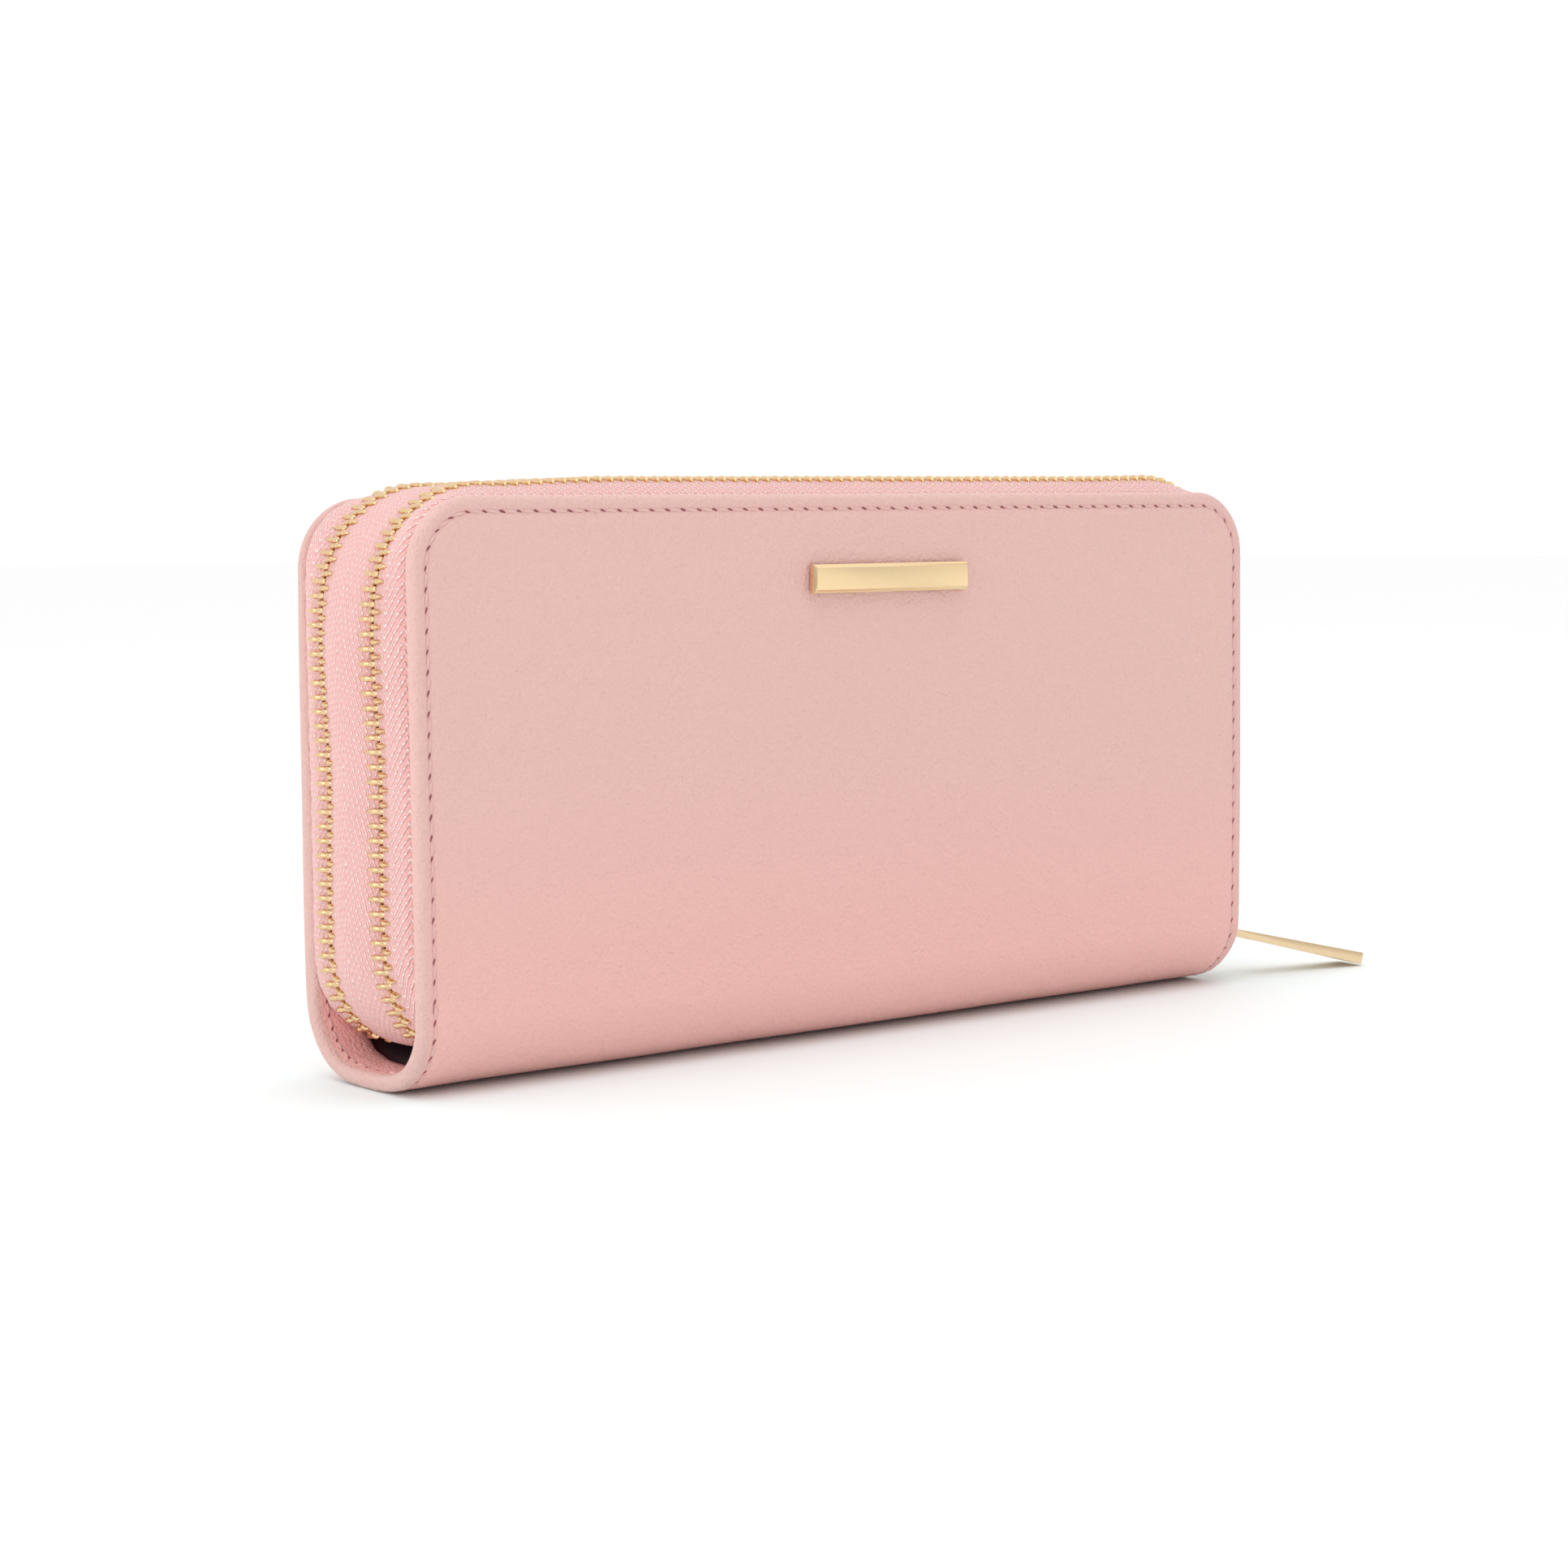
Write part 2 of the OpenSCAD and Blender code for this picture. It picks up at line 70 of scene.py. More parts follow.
def path(s):
    """Zip path at arc length s: (x, z), outward normal, tangent."""
    if s < 0:
        # the sewn-down end, tucked level inside the spine
        r, a0 = 6.0, math.radians(TAIL_A)
        a = a0 + min(-s / r, math.radians(34))
        p0 = (-XT + ZR - ZR * math.cos(a0), TAIL_Z - ZR * math.sin(a0))
        c0 = (p0[0] + r * math.cos(a0), p0[1] + r * math.sin(a0))
        n = (-math.cos(a), -math.sin(a))
        t = (-math.sin(a), math.cos(a))
        rest = max(0.0, -s - r * math.radians(34))
        return (c0[0] + r * n[0] - t[0] * rest, c0[1] + r * n[1] - t[1] * rest), n, t
    if s < S_TAIL:
        a = (S_TAIL - s) / ZR
        n = (-math.cos(a), -math.sin(a))
        p = (-XT + ZR + ZR * n[0], TAIL_Z + ZR * n[1])
        t = (n[1] * 1.0, -n[0] * 1.0)
    elif s < S_LEFT:
        n = (-1.0, 0.0)
        p = (-XT, TAIL_Z + s - S_TAIL)
        t = (0.0, 1.0)
    elif s < S_BEND:
        a = (s - S_LEFT) / ZR
        n = (-math.cos(a), math.sin(a))
        p = (-XT + ZR + ZR * n[0], ZT - ZR + ZR * n[1])
        t = (math.sin(a), math.cos(a))
    elif s < S_TOP:
        n = (0.0, 1.0)
        p = (-XT + ZR + s - S_BEND, ZT)
        t = (1.0, 0.0)
    elif s < S_BEND2:
        a = (s - S_TOP) / ZR
        n = (math.sin(a), math.cos(a))
        p = (XT - ZR + ZR * n[0], ZT - ZR + ZR * n[1])
        t = (math.cos(a), -math.sin(a))
    else:
        n = (1.0, 0.0)
        p = (XT, ZT - ZR - (s - S_BEND2))
        t = (0.0, -1.0)
    if s < S_TAIL:
        t = (-math.sin((S_TAIL - s) / ZR), math.cos((S_TAIL - s) / ZR))
    return p, n, t


def smooth_interp(s, pts):
    xs = [p[0] for p in pts]
    ys = [p[1] for p in pts]
    if s <= xs[0]:
        return ys[0]
    for i in range(len(xs) - 1):
        if s <= xs[i + 1]:
            t = (s - xs[i]) / (xs[i + 1] - xs[i])
            t = t * t * (3 - 2 * t)
            return ys[i] + (ys[i + 1] - ys[i]) * t
    return ys[-1]


# how far the chain stands off the plain path, and how deep a valley it lies in (radians of tilt of each row)
_UPPER = [(S_LEFT - 6, 0.3), (S_LEFT + 7, -0.2), (S_LEFT + 20, -0.5),
          (S_BEND + 2, -0.75), (S_BEND + 26, 0.0), (S_TOP - 20, 0.0), (S_TOP + 10, 0.35), (S_BEND2 - 9, 0.2), (S_BEND2 - 2, 0.0), (S_BEND2 + 20, 0.0)]
N_OFF_F = [(-8, -0.4), (0, -0.3), (2.8, -0.15), (4.5, -0.13), (7.3, -0.42), (11.5, -0.72), (S_TAIL, -0.72), (S_TAIL + 7, -0.45), (S_TAIL + 28, -0.75)] + _UPPER
N_OFF_B = [(-8, -0.3), (-3, -0.1), (0, 0.1), (4, 0.28), (8, 0.3), (12, -0.05), (S_TAIL, -0.25), (S_TAIL + 7, -0.2), (S_TAIL + 28, -0.7)] + _UPPER
VALLEY = [(0, 0.15), (S_TAIL, 0.36), (S_LEFT - 12, 0.36), (S_LEFT + 12, 0.06), (S_BEND, -0.02), (S_TOP, -0.02), (S_BEND2 - 8, 0.0), (S_BEND2 + 56, 0.0)]
# where the leather's edge lies, measured outwards from the path
def leather_edge(s):
    (x, z), n, t = path(min(max(s, S_TAIL), S_END))
    # distance along the normal to the rounded outline of the cover
    best = None
    for k in range(-400, 300):
        d = k * 0.02
        px, pz = x + n[0] * d, z + n[1] * d
        cx, cz = HL - RC, HT - RC
        ax, az = abs(px), pz
        if ax > cx and az > cz:
            inside = math.hypot(ax - cx, az - cz) <= RC
        else:
            inside = ax <= HL and az <= HT
        if not inside:
            best = d
            break
    return best if best is not None else 6.0


_edge_tab = [(s, leather_edge(s)) for s in np.linspace(S_TAIL, S_END, 90)]
def edge_at(s):
    xs = [p[0] for p in _edge_tab]
    ys = [p[1] for p in _edge_tab]
    return float(np.interp(s, xs, ys))


# ------------------------------------------------------------------ mesh helpers
def make_mesh(name, verts, faces, uv=None, attrs=None, smooth=True, material=None):
    me = bpy.data.meshes.new(name)
    me.from_pydata([tuple(v) for v in np.asarray(verts, float) * MM], [], [tuple(int(i) for i in f) for f in faces])
    me.validate()
    if uv is not None:
        layer = me.uv_layers.new(name="UVMap")
        idx = np.zeros(len(me.loops), np.int32)
        me.loops.foreach_get("vertex_index", idx)
        layer.data.foreach_set("uv", np.asarray(uv, np.float32)[idx].ravel())
    for key, values in (attrs or {}).items():
        a = me.attributes.new(key, "FLOAT", "POINT")
        a.data.foreach_set("value", np.asarray(values, np.float32))
    me.polygons.foreach_set("use_smooth", [smooth] * len(me.polygons))
    me.update()
    ob = bpy.data.objects.new(name, me)
    scene.collection.objects.link(ob)
    if material:
        me.materials.append(material)
    bm = bmesh.new()
    bm.from_mesh(me)
    bmesh.ops.recalc_face_normals(bm, faces=bm.faces)
    bm.to_mesh(me)
    bm.free()
    return ob


def grid_faces(nr, nc, base=0, wrap=False):
    out = []
    for r in range(nr - 1):
        for c in range(nc - (0 if wrap else 1)):
            c2 = (c + 1) % nc
            out.append((base + r * nc + c, base + r * nc + c2, base + (r + 1) * nc + c2, base + (r + 1) * nc + c))
    return out


def copy_node(node, name, bevel=0.15, segments=2, material=None, body=None, replace=True, angle=30):
    """A finer copy of a CAD node: same place and shape, with its edges rounded."""
    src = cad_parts[node]
    me = src.data.copy()
    me.name = name
    ob = bpy.data.objects.new(name, me)
    scene.collection.objects.link(ob)
    bm = bmesh.new()
    bm.from_mesh(me)
    bmesh.ops.remove_doubles(bm, verts=bm.verts, dist=0.00001)
    bmesh.ops.dissolve_limit(bm, angle_limit=math.radians(1.5), verts=bm.verts, edges=bm.edges)
    bm.to_mesh(me)
    bm.free()
    me.materials.clear()
    if material:
        me.materials.append(material)
    me.polygons.foreach_set("use_smooth", [True] * len(me.polygons))
    if bevel:
        m = ob.modifiers.new("edges", "BEVEL")
        m.width = bevel * MM
        m.segments = segments
        m.limit_method = "ANGLE"
        m.angle_limit = math.radians(angle)
        m.harden_normals = True
        m.use_clamp_overlap = True
    apply_mods(ob)
    sharp_by_angle(ob, 40)
    if replace:
        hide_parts(node)
    if body:
        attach(ob, body)
    return ob


def apply_mods(ob):
    dg = bpy.context.evaluated_depsgraph_get()
    dg.update()
    ev = ob.evaluated_get(dg)
    me = bpy.data.meshes.new_from_object(ev, preserve_all_data_layers=True, depsgraph=dg)
    ob.modifiers.clear()
    ob.data = me


def sharp_by_angle(ob, degrees):
    bm = bmesh.new()
    bm.from_mesh(ob.data)
    for e in bm.edges:
        if len(e.link_faces) == 2 and e.calc_face_angle(0) > math.radians(degrees):
            e.smooth = False
    bm.to_mesh(ob.data)
    bm.free()


# ------------------------------------------------------------------ materials
def new_mat(name):
    m = bpy.data.materials.new(name)
    m.use_nodes = True
    nt = m.node_tree
    nt.nodes.clear()
    out = nt.nodes.new("ShaderNodeOutputMaterial")
    b = nt.nodes.new("ShaderNodeBsdfPrincipled")
    nt.links.new(b.outputs[0], out.inputs[0])
    return m, nt, b


def N(nt, kind, **kw):
    n = nt.nodes.new(kind)
    for k, v in kw.items():
        setattr(n, k, v)
    return n


def math_node(nt, op, a, b=None, c=None, clamp=False):
    n = nt.nodes.new("ShaderNodeMath")
    n.operation = op
    n.use_clamp = clamp
    for i, v in enumerate((a, b, c)):
        if v is None:
            continue
        if isinstance(v, (int, float)):
            n.inputs[i].default_value = v
        else:
            nt.links.new(v, n.inputs[i])
    return n.outputs[0]


def ramp(nt, fac, stops):
    n = nt.nodes.new("ShaderNodeValToRGB")
    el = n.color_ramp.elements
    while len(el) > 1:
        el.remove(el[-1])
    el[0].position, el[0].color = stops[0][0], (*stops[0][1], 1)
    for p, c in stops[1:]:
        e = el.new(p)
        e.color = (*c, 1)
    nt.links.new(fac, n.inputs[0])
    return n.outputs[0]


def mix_col(nt, fac, a, b, mode="MIX"):
    n = nt.nodes.new("ShaderNodeMix")
    n.data_type = "RGBA"
    n.blend_type = mode
    for sock, v in ((n.inputs[0], fac), (n.inputs[6], a), (n.inputs[7], b)):
        if isinstance(v, (int, float)):
            sock.default_value = v
        elif isinstance(v, tuple):
            sock.default_value = (*v, 1) if len(v) == 3 else v
        else:
            nt.links.new(v, sock)
    return n.outputs[2]


def noise(nt, vec, scale, detail=3, rough=0.5, dist=0.0):
    n = nt.nodes.new("ShaderNodeTexNoise")
    n.inputs["Scale"].default_value = scale
    n.inputs["Detail"].default_value = detail
    n.inputs["Roughness"].default_value = rough
    n.inputs["Distortion"].default_value = dist
    nt.links.new(vec, n.inputs["Vector"])
    return n.outputs[0]


def bump(nt, height, strength, dist_mm, normal=None):
    n = nt.nodes.new("ShaderNodeBump")
    n.inputs["Strength"].default_value = strength
    n.inputs["Distance"].default_value = dist_mm * MM
    nt.links.new(height, n.inputs["Height"])
    if normal is not None:
        nt.links.new(normal, n.inputs["Normal"])
    return n.outputs[0]


def leather_mat(name, light, dark, stitched=False, rough=0.46, grain=1.0):
    m, nt, b = new_mat(name)
    tc = N(nt, "ShaderNodeTexCoord")
    uv = tc.outputs["Object"]
    k = 1000.0
    # fine pebbled grain: voronoi cells over soft noise
    vo = nt.nodes.new("ShaderNodeTexVoronoi")
    vo.feature = "SMOOTH_F1"
    vo.inputs["Scale"].default_value = 1.55 * k
    vo.inputs["Smoothness"].default_value = 0.6
    nt.links.new(uv, vo.inputs["Vector"])
    n_fine = noise(nt, uv, 2.6 * k, 3, 0.55)
    n_mid = noise(nt, uv, 0.34 * k, 3, 0.5, 0.4)
    n_big = noise(nt, uv, 0.045 * k, 2, 0.5)
    col = mix_col(nt, math_node(nt, "MULTIPLY_ADD", n_big, 1.3, -0.15, clamp=True), dark, light)
    col2 = mix_col(nt, math_node(nt, "MULTIPLY_ADD", n_fine, 0.9, -0.3, clamp=True), tuple(c * 0.955 for c in light), col)
    h = math_node(nt, "MULTIPLY_ADD", vo.outputs["Distance"], 0.5, math_node(nt, "MULTIPLY", n_fine, 0.6))
    h = math_node(nt, "MULTIPLY_ADD", n_mid, 1.2, h)
    nrm = bump(nt, h, 0.95 * grain, 0.36)
    if stitched:
        zz = N(nt, "ShaderNodeSeparateXYZ")
        nt.links.new(uv, zz.inputs[0])
        # painted reflected light: the leather is made pinker towards the bottom, below about 62 mm, away from the rim
        low = math_node(nt, "SUBTRACT", 1.0, math_node(nt, "MULTIPLY", zz.outputs[2], 1 / 0.062), clamp=True)
        low = math_node(nt, "POWER", low, 1.7)
        d = N(nt, "ShaderNodeAttribute", attribute_name="inset").outputs["Fac"]
        # the folded-over rim: painted shade, a darker, slightly cooler tone, stronger low down towards the spine and
        # on the back panel
        rim = math_node(nt, "SUBTRACT", 2.1, d, clamp=True)
        rim_shade_fac = math_node(nt, "MAXIMUM", N(nt, "ShaderNodeAttribute", attribute_name="rim_shade").outputs["Fac"], low)
        body = math_node(nt, "SUBTRACT", 1.0, rim)
        col2 = mix_col(nt, math_node(nt, "MULTIPLY", math_node(nt, "MULTIPLY", low, body), 0.85), col2, (light[0] * 1.13, light[1] * 0.95, light[2] * 0.95))
        col2 = mix_col(nt, math_node(nt, "MULTIPLY", rim, rim_shade_fac), col2, (light[0] * 0.865, light[1] * 0.885, light[2] * 0.885))
        # painted light: the turned-in back of the leather, inside the spine, is made brighter and pinker than the
        # outer face
        turned = N(nt, "ShaderNodeAttribute", attribute_name="turned").outputs["Fac"]
        col2 = mix_col(nt, math_node(nt, "MULTIPLY", math_node(nt, "MULTIPLY", turned, body), 0.9), col2, (0.99, light[1] * 1.03, light[2] * 1.08))
        ph = N(nt, "ShaderNodeAttribute", attribute_name="stitch").outputs["Fac"]
        # needle holes: painted shade, dark points at each end of a stitch, in the groove
        frac = math_node(nt, "SUBTRACT", math_node(nt, "FRACT", math_node(nt, "ADD", ph, 0.5)), 0.5)      # 0 at the holes
        along = math_node(nt, "MULTIPLY", frac, 3.39)
        across = math_node(nt, "MULTIPLY_ADD", along, -0.32, math_node(nt, "SUBTRACT", d, 2.7))
        ra = math_node(nt, "DIVIDE", along, 0.62)
        rc = math_node(nt, "DIVIDE", across, 0.21)
        rad = math_node(nt, "ADD", math_node(nt, "MULTIPLY", ra, ra), math_node(nt, "MULTIPLY", rc, rc))
        uneven = math_node(nt, "MULTIPLY_ADD", noise(nt, uv, 0.31 * k, 1, 0.5), 1.3, 0.45)
        hole = math_node(nt, "MULTIPLY", math_node(nt, "SUBTRACT", uneven, rad), 1.6, clamp=True)
        # painted shade: darker along the stitch groove
        groove = math_node(nt, "SUBTRACT", 1.0, math_node(nt, "MULTIPLY", math_node(nt, "ABSOLUTE", math_node(nt, "SUBTRACT", d, 2.7)), 1.5), clamp=True)
        col2 = mix_col(nt, math_node(nt, "MULTIPLY", groove, 0.35), col2, tuple(c * f for c, f in zip(dark, (0.86, 0.72, 0.72))))
        col2 = mix_col(nt, math_node(nt, "MULTIPLY", hole, 0.92), col2, (0.27, 0.050, 0.075))
        nrm = bump(nt, math_node(nt, "SUBTRACT", 1.0, hole), 0.9, 0.12, nrm)
        pucker = math_node(nt, "MULTIPLY", math_node(nt, "COSINE", math_node(nt, "MULTIPLY", ph, 2 * math.pi)),
                           math_node(nt, "SUBTRACT", 1.0, math_node(nt, "MULTIPLY", math_node(nt, "ABSOLUTE", math_node(nt, "SUBTRACT", d, 2.7)), 0.55), clamp=True))
        nrm = bump(nt, pucker, 0.55, 0.10, nrm)
    nt.links.new(col2, b.inputs["Base Color"])
    r = math_node(nt, "MULTIPLY_ADD", n_fine, 0.12, rough - 0.06)
    nt.links.new(r, b.inputs["Roughness"])
    nt.links.new(nrm, b.inputs["Normal"])
    b.inputs["Specular IOR Level"].default_value = 0.32
    b.inputs["Sheen Weight"].default_value = 0.05
    b.inputs["Sheen Roughness"].default_value = 0.4
    return m


def weave_mat(name, light, dark, half, rib=1.05, slope=0.34):
    """Herringbone ribbon: UV is (along, across) in mm; ribs lean one way on each half of the ribbon's width."""
    m, nt, b = new_mat(name)
    tc = N(nt, "ShaderNodeTexCoord")
    sep = N(nt, "ShaderNodeSeparateXYZ")
    nt.links.new(tc.outputs["UV"], sep.inputs[0])
    u, v = sep.outputs[0], sep.outputs[1]
    wob = noise(nt, tc.outputs["UV"], 0.9, 2, 0.5)
    av = math_node(nt, "PINGPONG", v, half)
    w = 1 / math.sqrt(1 + slope * slope)
    ph = math_node(nt, "MULTIPLY_ADD", wob, 0.5, math_node(nt, "MULTIPLY", math_node(nt, "MULTIPLY_ADD", u, slope, av), w / rib))
    rib_h = math_node(nt, "MULTIPLY_ADD", math_node(nt, "SINE", math_node(nt, "MULTIPLY", ph, 2 * math.pi)), 0.5, 0.5)
    # floats break the ribs into short yarn segments, staggered from one rib to the next
    sp = math_node(nt, "MULTIPLY", math_node(nt, "MULTIPLY_ADD", av, -slope, u), w / 1.15)
    sp = math_node(nt, "MULTIPLY_ADD", math_node(nt, "FLOOR", ph), 0.5, sp)
    seg = math_node(nt, "MULTIPLY_ADD", math_node(nt, "SINE", math_node(nt, "MULTIPLY", sp, 2 * math.pi)), 0.5, 0.5)
    yarn_relief = math_node(nt, "MULTIPLY", math_node(nt, "POWER", rib_h, 1.3), math_node(nt, "MULTIPLY_ADD", seg, 0.6, 0.4))
    fuzz = noise(nt, tc.outputs["UV"], 3.5, 3, 0.6)
    h = math_node(nt, "ADD", math_node(nt, "MULTIPLY_ADD", yarn_relief, 1.45, -0.28), math_node(nt, "MULTIPLY", fuzz, 0.25), clamp=True)
    big = noise(nt, tc.outputs["UV"], 0.12, 2, 0.5)
    # the colour follows the rib height: painted shade in the hollows between ribs
    col = mix_col(nt, h, dark, light)
    col = mix_col(nt, math_node(nt, "MULTIPLY_ADD", big, 0.5, -0.1, clamp=True), col, tuple(c * 0.95 for c in light))
    # painted highlight: near white on the tops of the ribs
    col = mix_col(nt, math_node(nt, "MULTIPLY_ADD", h, 2.0, -1.15, clamp=True), col, (1.0, min(1, light[1] * 1.15), min(1, light[2] * 1.17)))
    nt.links.new(col, b.inputs["Base Color"])
    nt.links.new(bump(nt, h, 1.0, 0.34), b.inputs["Normal"])
    nt.links.new(math_node(nt, "MULTIPLY_ADD", fuzz, 0.15, 0.62), b.inputs["Roughness"])
    b.inputs["Specular IOR Level"].default_value = 0.25
    b.inputs["Sheen Weight"].default_value = 0.25
    b.inputs["Sheen Roughness"].default_value = 0.5
    return m


def fabric_mat(name, light, dark, pitch=0.5, rough=0.85):
    m, nt, b = new_mat(name)
    tc = N(nt, "ShaderNodeTexCoord")
    sep = N(nt, "ShaderNodeSeparateXYZ")
    nt.links.new(tc.outputs["Object"], sep.inputs[0])
    k = 2 * math.pi * 1000 / pitch
    a = math_node(nt, "SINE", math_node(nt, "MULTIPLY", math_node(nt, "ADD", sep.outputs[0], sep.outputs[1]), k))
    c = math_node(nt, "SINE", math_node(nt, "MULTIPLY", sep.outputs[2], k))
    h = math_node(nt, "MULTIPLY_ADD", math_node(nt, "MULTIPLY", a, c), 0.5, 0.5)
    f = noise(nt, tc.outputs["Object"], 3500, 3, 0.6)
    big = noise(nt, tc.outputs["Object"], 90, 2, 0.5)
    h2 = math_node(nt, "MULTIPLY_ADD", f, 0.4, math_node(nt, "MULTIPLY", h, 0.6))
    # the colour follows the weave height: painted shade between the threads, mixed with a random tone
    col = mix_col(nt, h2, dark, light)
    col = mix_col(nt, math_node(nt, "MULTIPLY", big, 0.3), col, dark)
    nt.links.new(col, b.inputs["Base Color"])
    nt.links.new(bump(nt, h2, 0.5, 0.08), b.inputs["Normal"])
    nt.links.new(math_node(nt, "MULTIPLY_ADD", f, 0.1, rough - 0.05), b.inputs["Roughness"])
    b.inputs["Sheen Weight"].default_value = 0.1
    b.inputs["Specular IOR Level"].default_value = 0.2
    return m


def metal_mat(name, col, rough=0.22, brushed=False, metallic=1.0, edge_highlight=0.15):
    m, nt, b = new_mat(name)
    tc = N(nt, "ShaderNodeTexCoord")
    n1 = noise(nt, tc.outputs["Object"], 900, 3, 0.55)
    n2 = noise(nt, tc.outputs["Object"], 150, 2, 0.5)
    geo = N(nt, "ShaderNodeNewGeometry")
    edge = ramp(nt, geo.outputs["Pointiness"], [(0.46, (0, 0, 0)), (0.60, (1, 1, 1))])
    c = mix_col(nt, math_node(nt, "MULTIPLY_ADD", n2, 0.7, -0.1, clamp=True), tuple(x * 0.93 for x in col), col)
    # painted highlight: the colour is made lighter on convex edges
    c = mix_col(nt, math_node(nt, "MULTIPLY", edge, edge_highlight), c, tuple(min(1, x * 1.12 + 0.02) for x in col))
    nt.links.new(c, b.inputs["Base Color"])
    b.inputs["Metallic"].default_value = metallic
    nt.links.new(math_node(nt, "MULTIPLY_ADD", n1, 0.12, rough - 0.05), b.inputs["Roughness"])
    if brushed:
        mp = N(nt, "ShaderNodeMapping")
        mp.inputs["Scale"].default_value = (30, 900, 900)
        nt.links.new(tc.outputs["Object"], mp.inputs["Vector"])
        n3 = noise(nt, mp.outputs[0], 6, 2, 0.6)
        nt.links.new(bump(nt, n3, 0.12, 0.02), b.inputs["Normal"])
    else:
        nt.links.new(bump(nt, n1, 0.08, 0.02), b.inputs["Normal"])
    return m


def thread_mat(name, light, dark):
    m, nt, b = new_mat(name)
    tc = N(nt, "ShaderNodeTexCoord")
    sep = N(nt, "ShaderNodeSeparateXYZ")
    nt.links.new(tc.outputs["UV"], sep.inputs[0])
    tw = math_node(nt, "SINE", math_node(nt, "MULTIPLY", math_node(nt, "ADD", math_node(nt, "MULTIPLY", sep.outputs[0], 3.2), math_node(nt, "MULTIPLY", sep.outputs[1], 2.0)), 2 * math.pi))
    h = math_node(nt, "MULTIPLY_ADD", tw, 0.5, 0.5)
    # the colour follows the twist: painted shade in the grooves between plies
    nt.links.new(mix_col(nt, h, dark, light), b.inputs["Base Color"])
    nt.links.new(bump(nt, h, 0.6, 0.05), b.inputs["Normal"])
    nt.links.new(math_node(nt, "MULTIPLY_ADD", h, -0.1, 0.65), b.inputs["Roughness"])
    b.inputs["Sheen Weight"].default_value = 0.2
    return m


PINK_L = (0.842, 0.532, 0.482)
PINK_D = (0.805, 0.496, 0.450)
M_LEATHER = leather_mat("leather_outer", PINK_L, PINK_D, stitched=True)
M_INNER = leather_mat("leather_inner", (0.74, 0.45, 0.40), (0.68, 0.40, 0.36), rough=0.55, grain=0.8)
# the lining's very dark colour is set to match how dark the inside of the spine looks; the cloth's own colour there is
# not known
M_LINING = fabric_mat("lining_plum", (0.085, 0.020, 0.028), (0.045, 0.010, 0.015), 0.4)
M_GUSSET = fabric_mat("gusset_cloth", (0.62, 0.34, 0.31), (0.50, 0.25, 0.23), 0.5)
M_BOARD = fabric_mat("board_fibre", (0.60, 0.50, 0.38), (0.50, 0.40, 0.30), 0.9)
M_BAND = weave_mat("tape_band", (0.950, 0.622, 0.585), (0.845, 0.425, 0.405), 7.2)
M_TAPE = weave_mat("tape_strip", (0.955, 0.650, 0.615), (0.850, 0.430, 0.408), 3.6, slope=0.62)
M_TEETH = metal_mat("teeth_gold", (0.77, 0.53, 0.30), 0.15)
M_SLIDER = metal_mat("slider_gold", (0.80, 0.58, 0.34), 0.16)
M_PULLER = metal_mat("puller_gold", (0.84, 0.64, 0.40), 0.22, brushed=True)
M_BADGE = metal_mat("badge_gold", (0.90, 0.68, 0.40), 0.14)
M_STEEL = metal_mat("clip_steel", (0.62, 0.61, 0.58), 0.35)
M_THREAD = thread_mat("thread_pink", (0.86, 0.60, 0.56), (0.70, 0.40, 0.37))

# ------------------------------------------------------------------ leather skins
# how far the soft spine sits inside its plain round, by girth: at the left end and at the right end
SAG = np.array([(0, 0, 0), (1.5, 0, 0), (3, -.05, -.08), (5.4, -.2, -.35), (6.8, -.38, -.65), (8.5, -.56, -.95), (10.5, -.68, -1.2), (14, -.74, -1.45),
                (18, -.70, -1.45), (21, -.55, -1.15), (24, -.32, -.75), (27, -.14, -.5), (31, -.03, -.35), (45, 0, -.15), (60, 0, 0)])

# the back panel is a little fuller low down and drawn in at the top
FULL = np.array([(0, 0), (14, .05), (20, .3), (26, .7), (30, .9), (44, .9), (60, .5), (82, .25), (92, 0), (103, -.5), (114, -.9)])


def surf(side, x, v, n):
    """Point on the leather, v round the girth from the middle of the underside and n outwards. side 1 is the front."""
    x, v, n = np.broadcast_arrays(np.asarray(x, float), np.asarray(v, float), np.asarray(n, float))
    t = np.clip((x + HL) / (2 * HL), 0, 1)
    n = n + np.interp(v, SAG[:, 0], SAG[:, 1]) * (1 - t) + np.interp(v, SAG[:, 0], SAG[:, 2]) * t
    if side < 0:
        n = n + np.interp(v, FULL[:, 0], FULL[:, 1]) * np.clip((n + 3) / 3, 0, 1)
    th = np.clip((v - SC) / SR, 0, math.pi / 2)
    y = np.where(v <= SC, -v, -SC - (SR + n) * np.sin(th))
    z = np.where(v <= SC, -n, SR - (SR + n) * np.cos(th))
    up = v >= VH
    y = np.where(up, -(HD + n), y)
    z = np.where(up, SR + v - VH, z)
    return np.stack([x, side * y, z], -1)


ST_D = 2.7
ST_LEN = 2 * (VT - RC) + math.pi * (RC - ST_D) + 2 * (HL - RC)
ST_N = 119
ST_P = ST_LEN / ST_N


def ring_params(d, VS, XS, K):
    """(x, v, length along the stitch line) round the outline inset by d, from the underside up, over and down."""
    r = RC - d
    a = np.linspace(0, math.pi / 2, K + 1)[1:-1]
    cx, cv = HL - RC, VT - RC
    L1 = cv
    L2 = L1 + (RC - ST_D) * math.pi / 2
    L3 = L2 + 2 * cx
    L4 = L3 + (RC - ST_D) * math.pi / 2
    x = np.concatenate([np.full(len(VS), -HL + d), -cx - r * np.cos(a), XS, cx + r * np.sin(a), np.full(len(VS), HL - d)])
    v = np.concatenate([VS, cv + r * np.sin(a), np.full(len(XS), VT - d), cv + r * np.cos(a), VS[::-1]])
    L = np.concatenate([VS, L1 + (RC - ST_D) * a, L2 + (XS + cx), L3 + (RC - ST_D) * a, L4 + (cv - VS[::-1])])
    return x, v, L


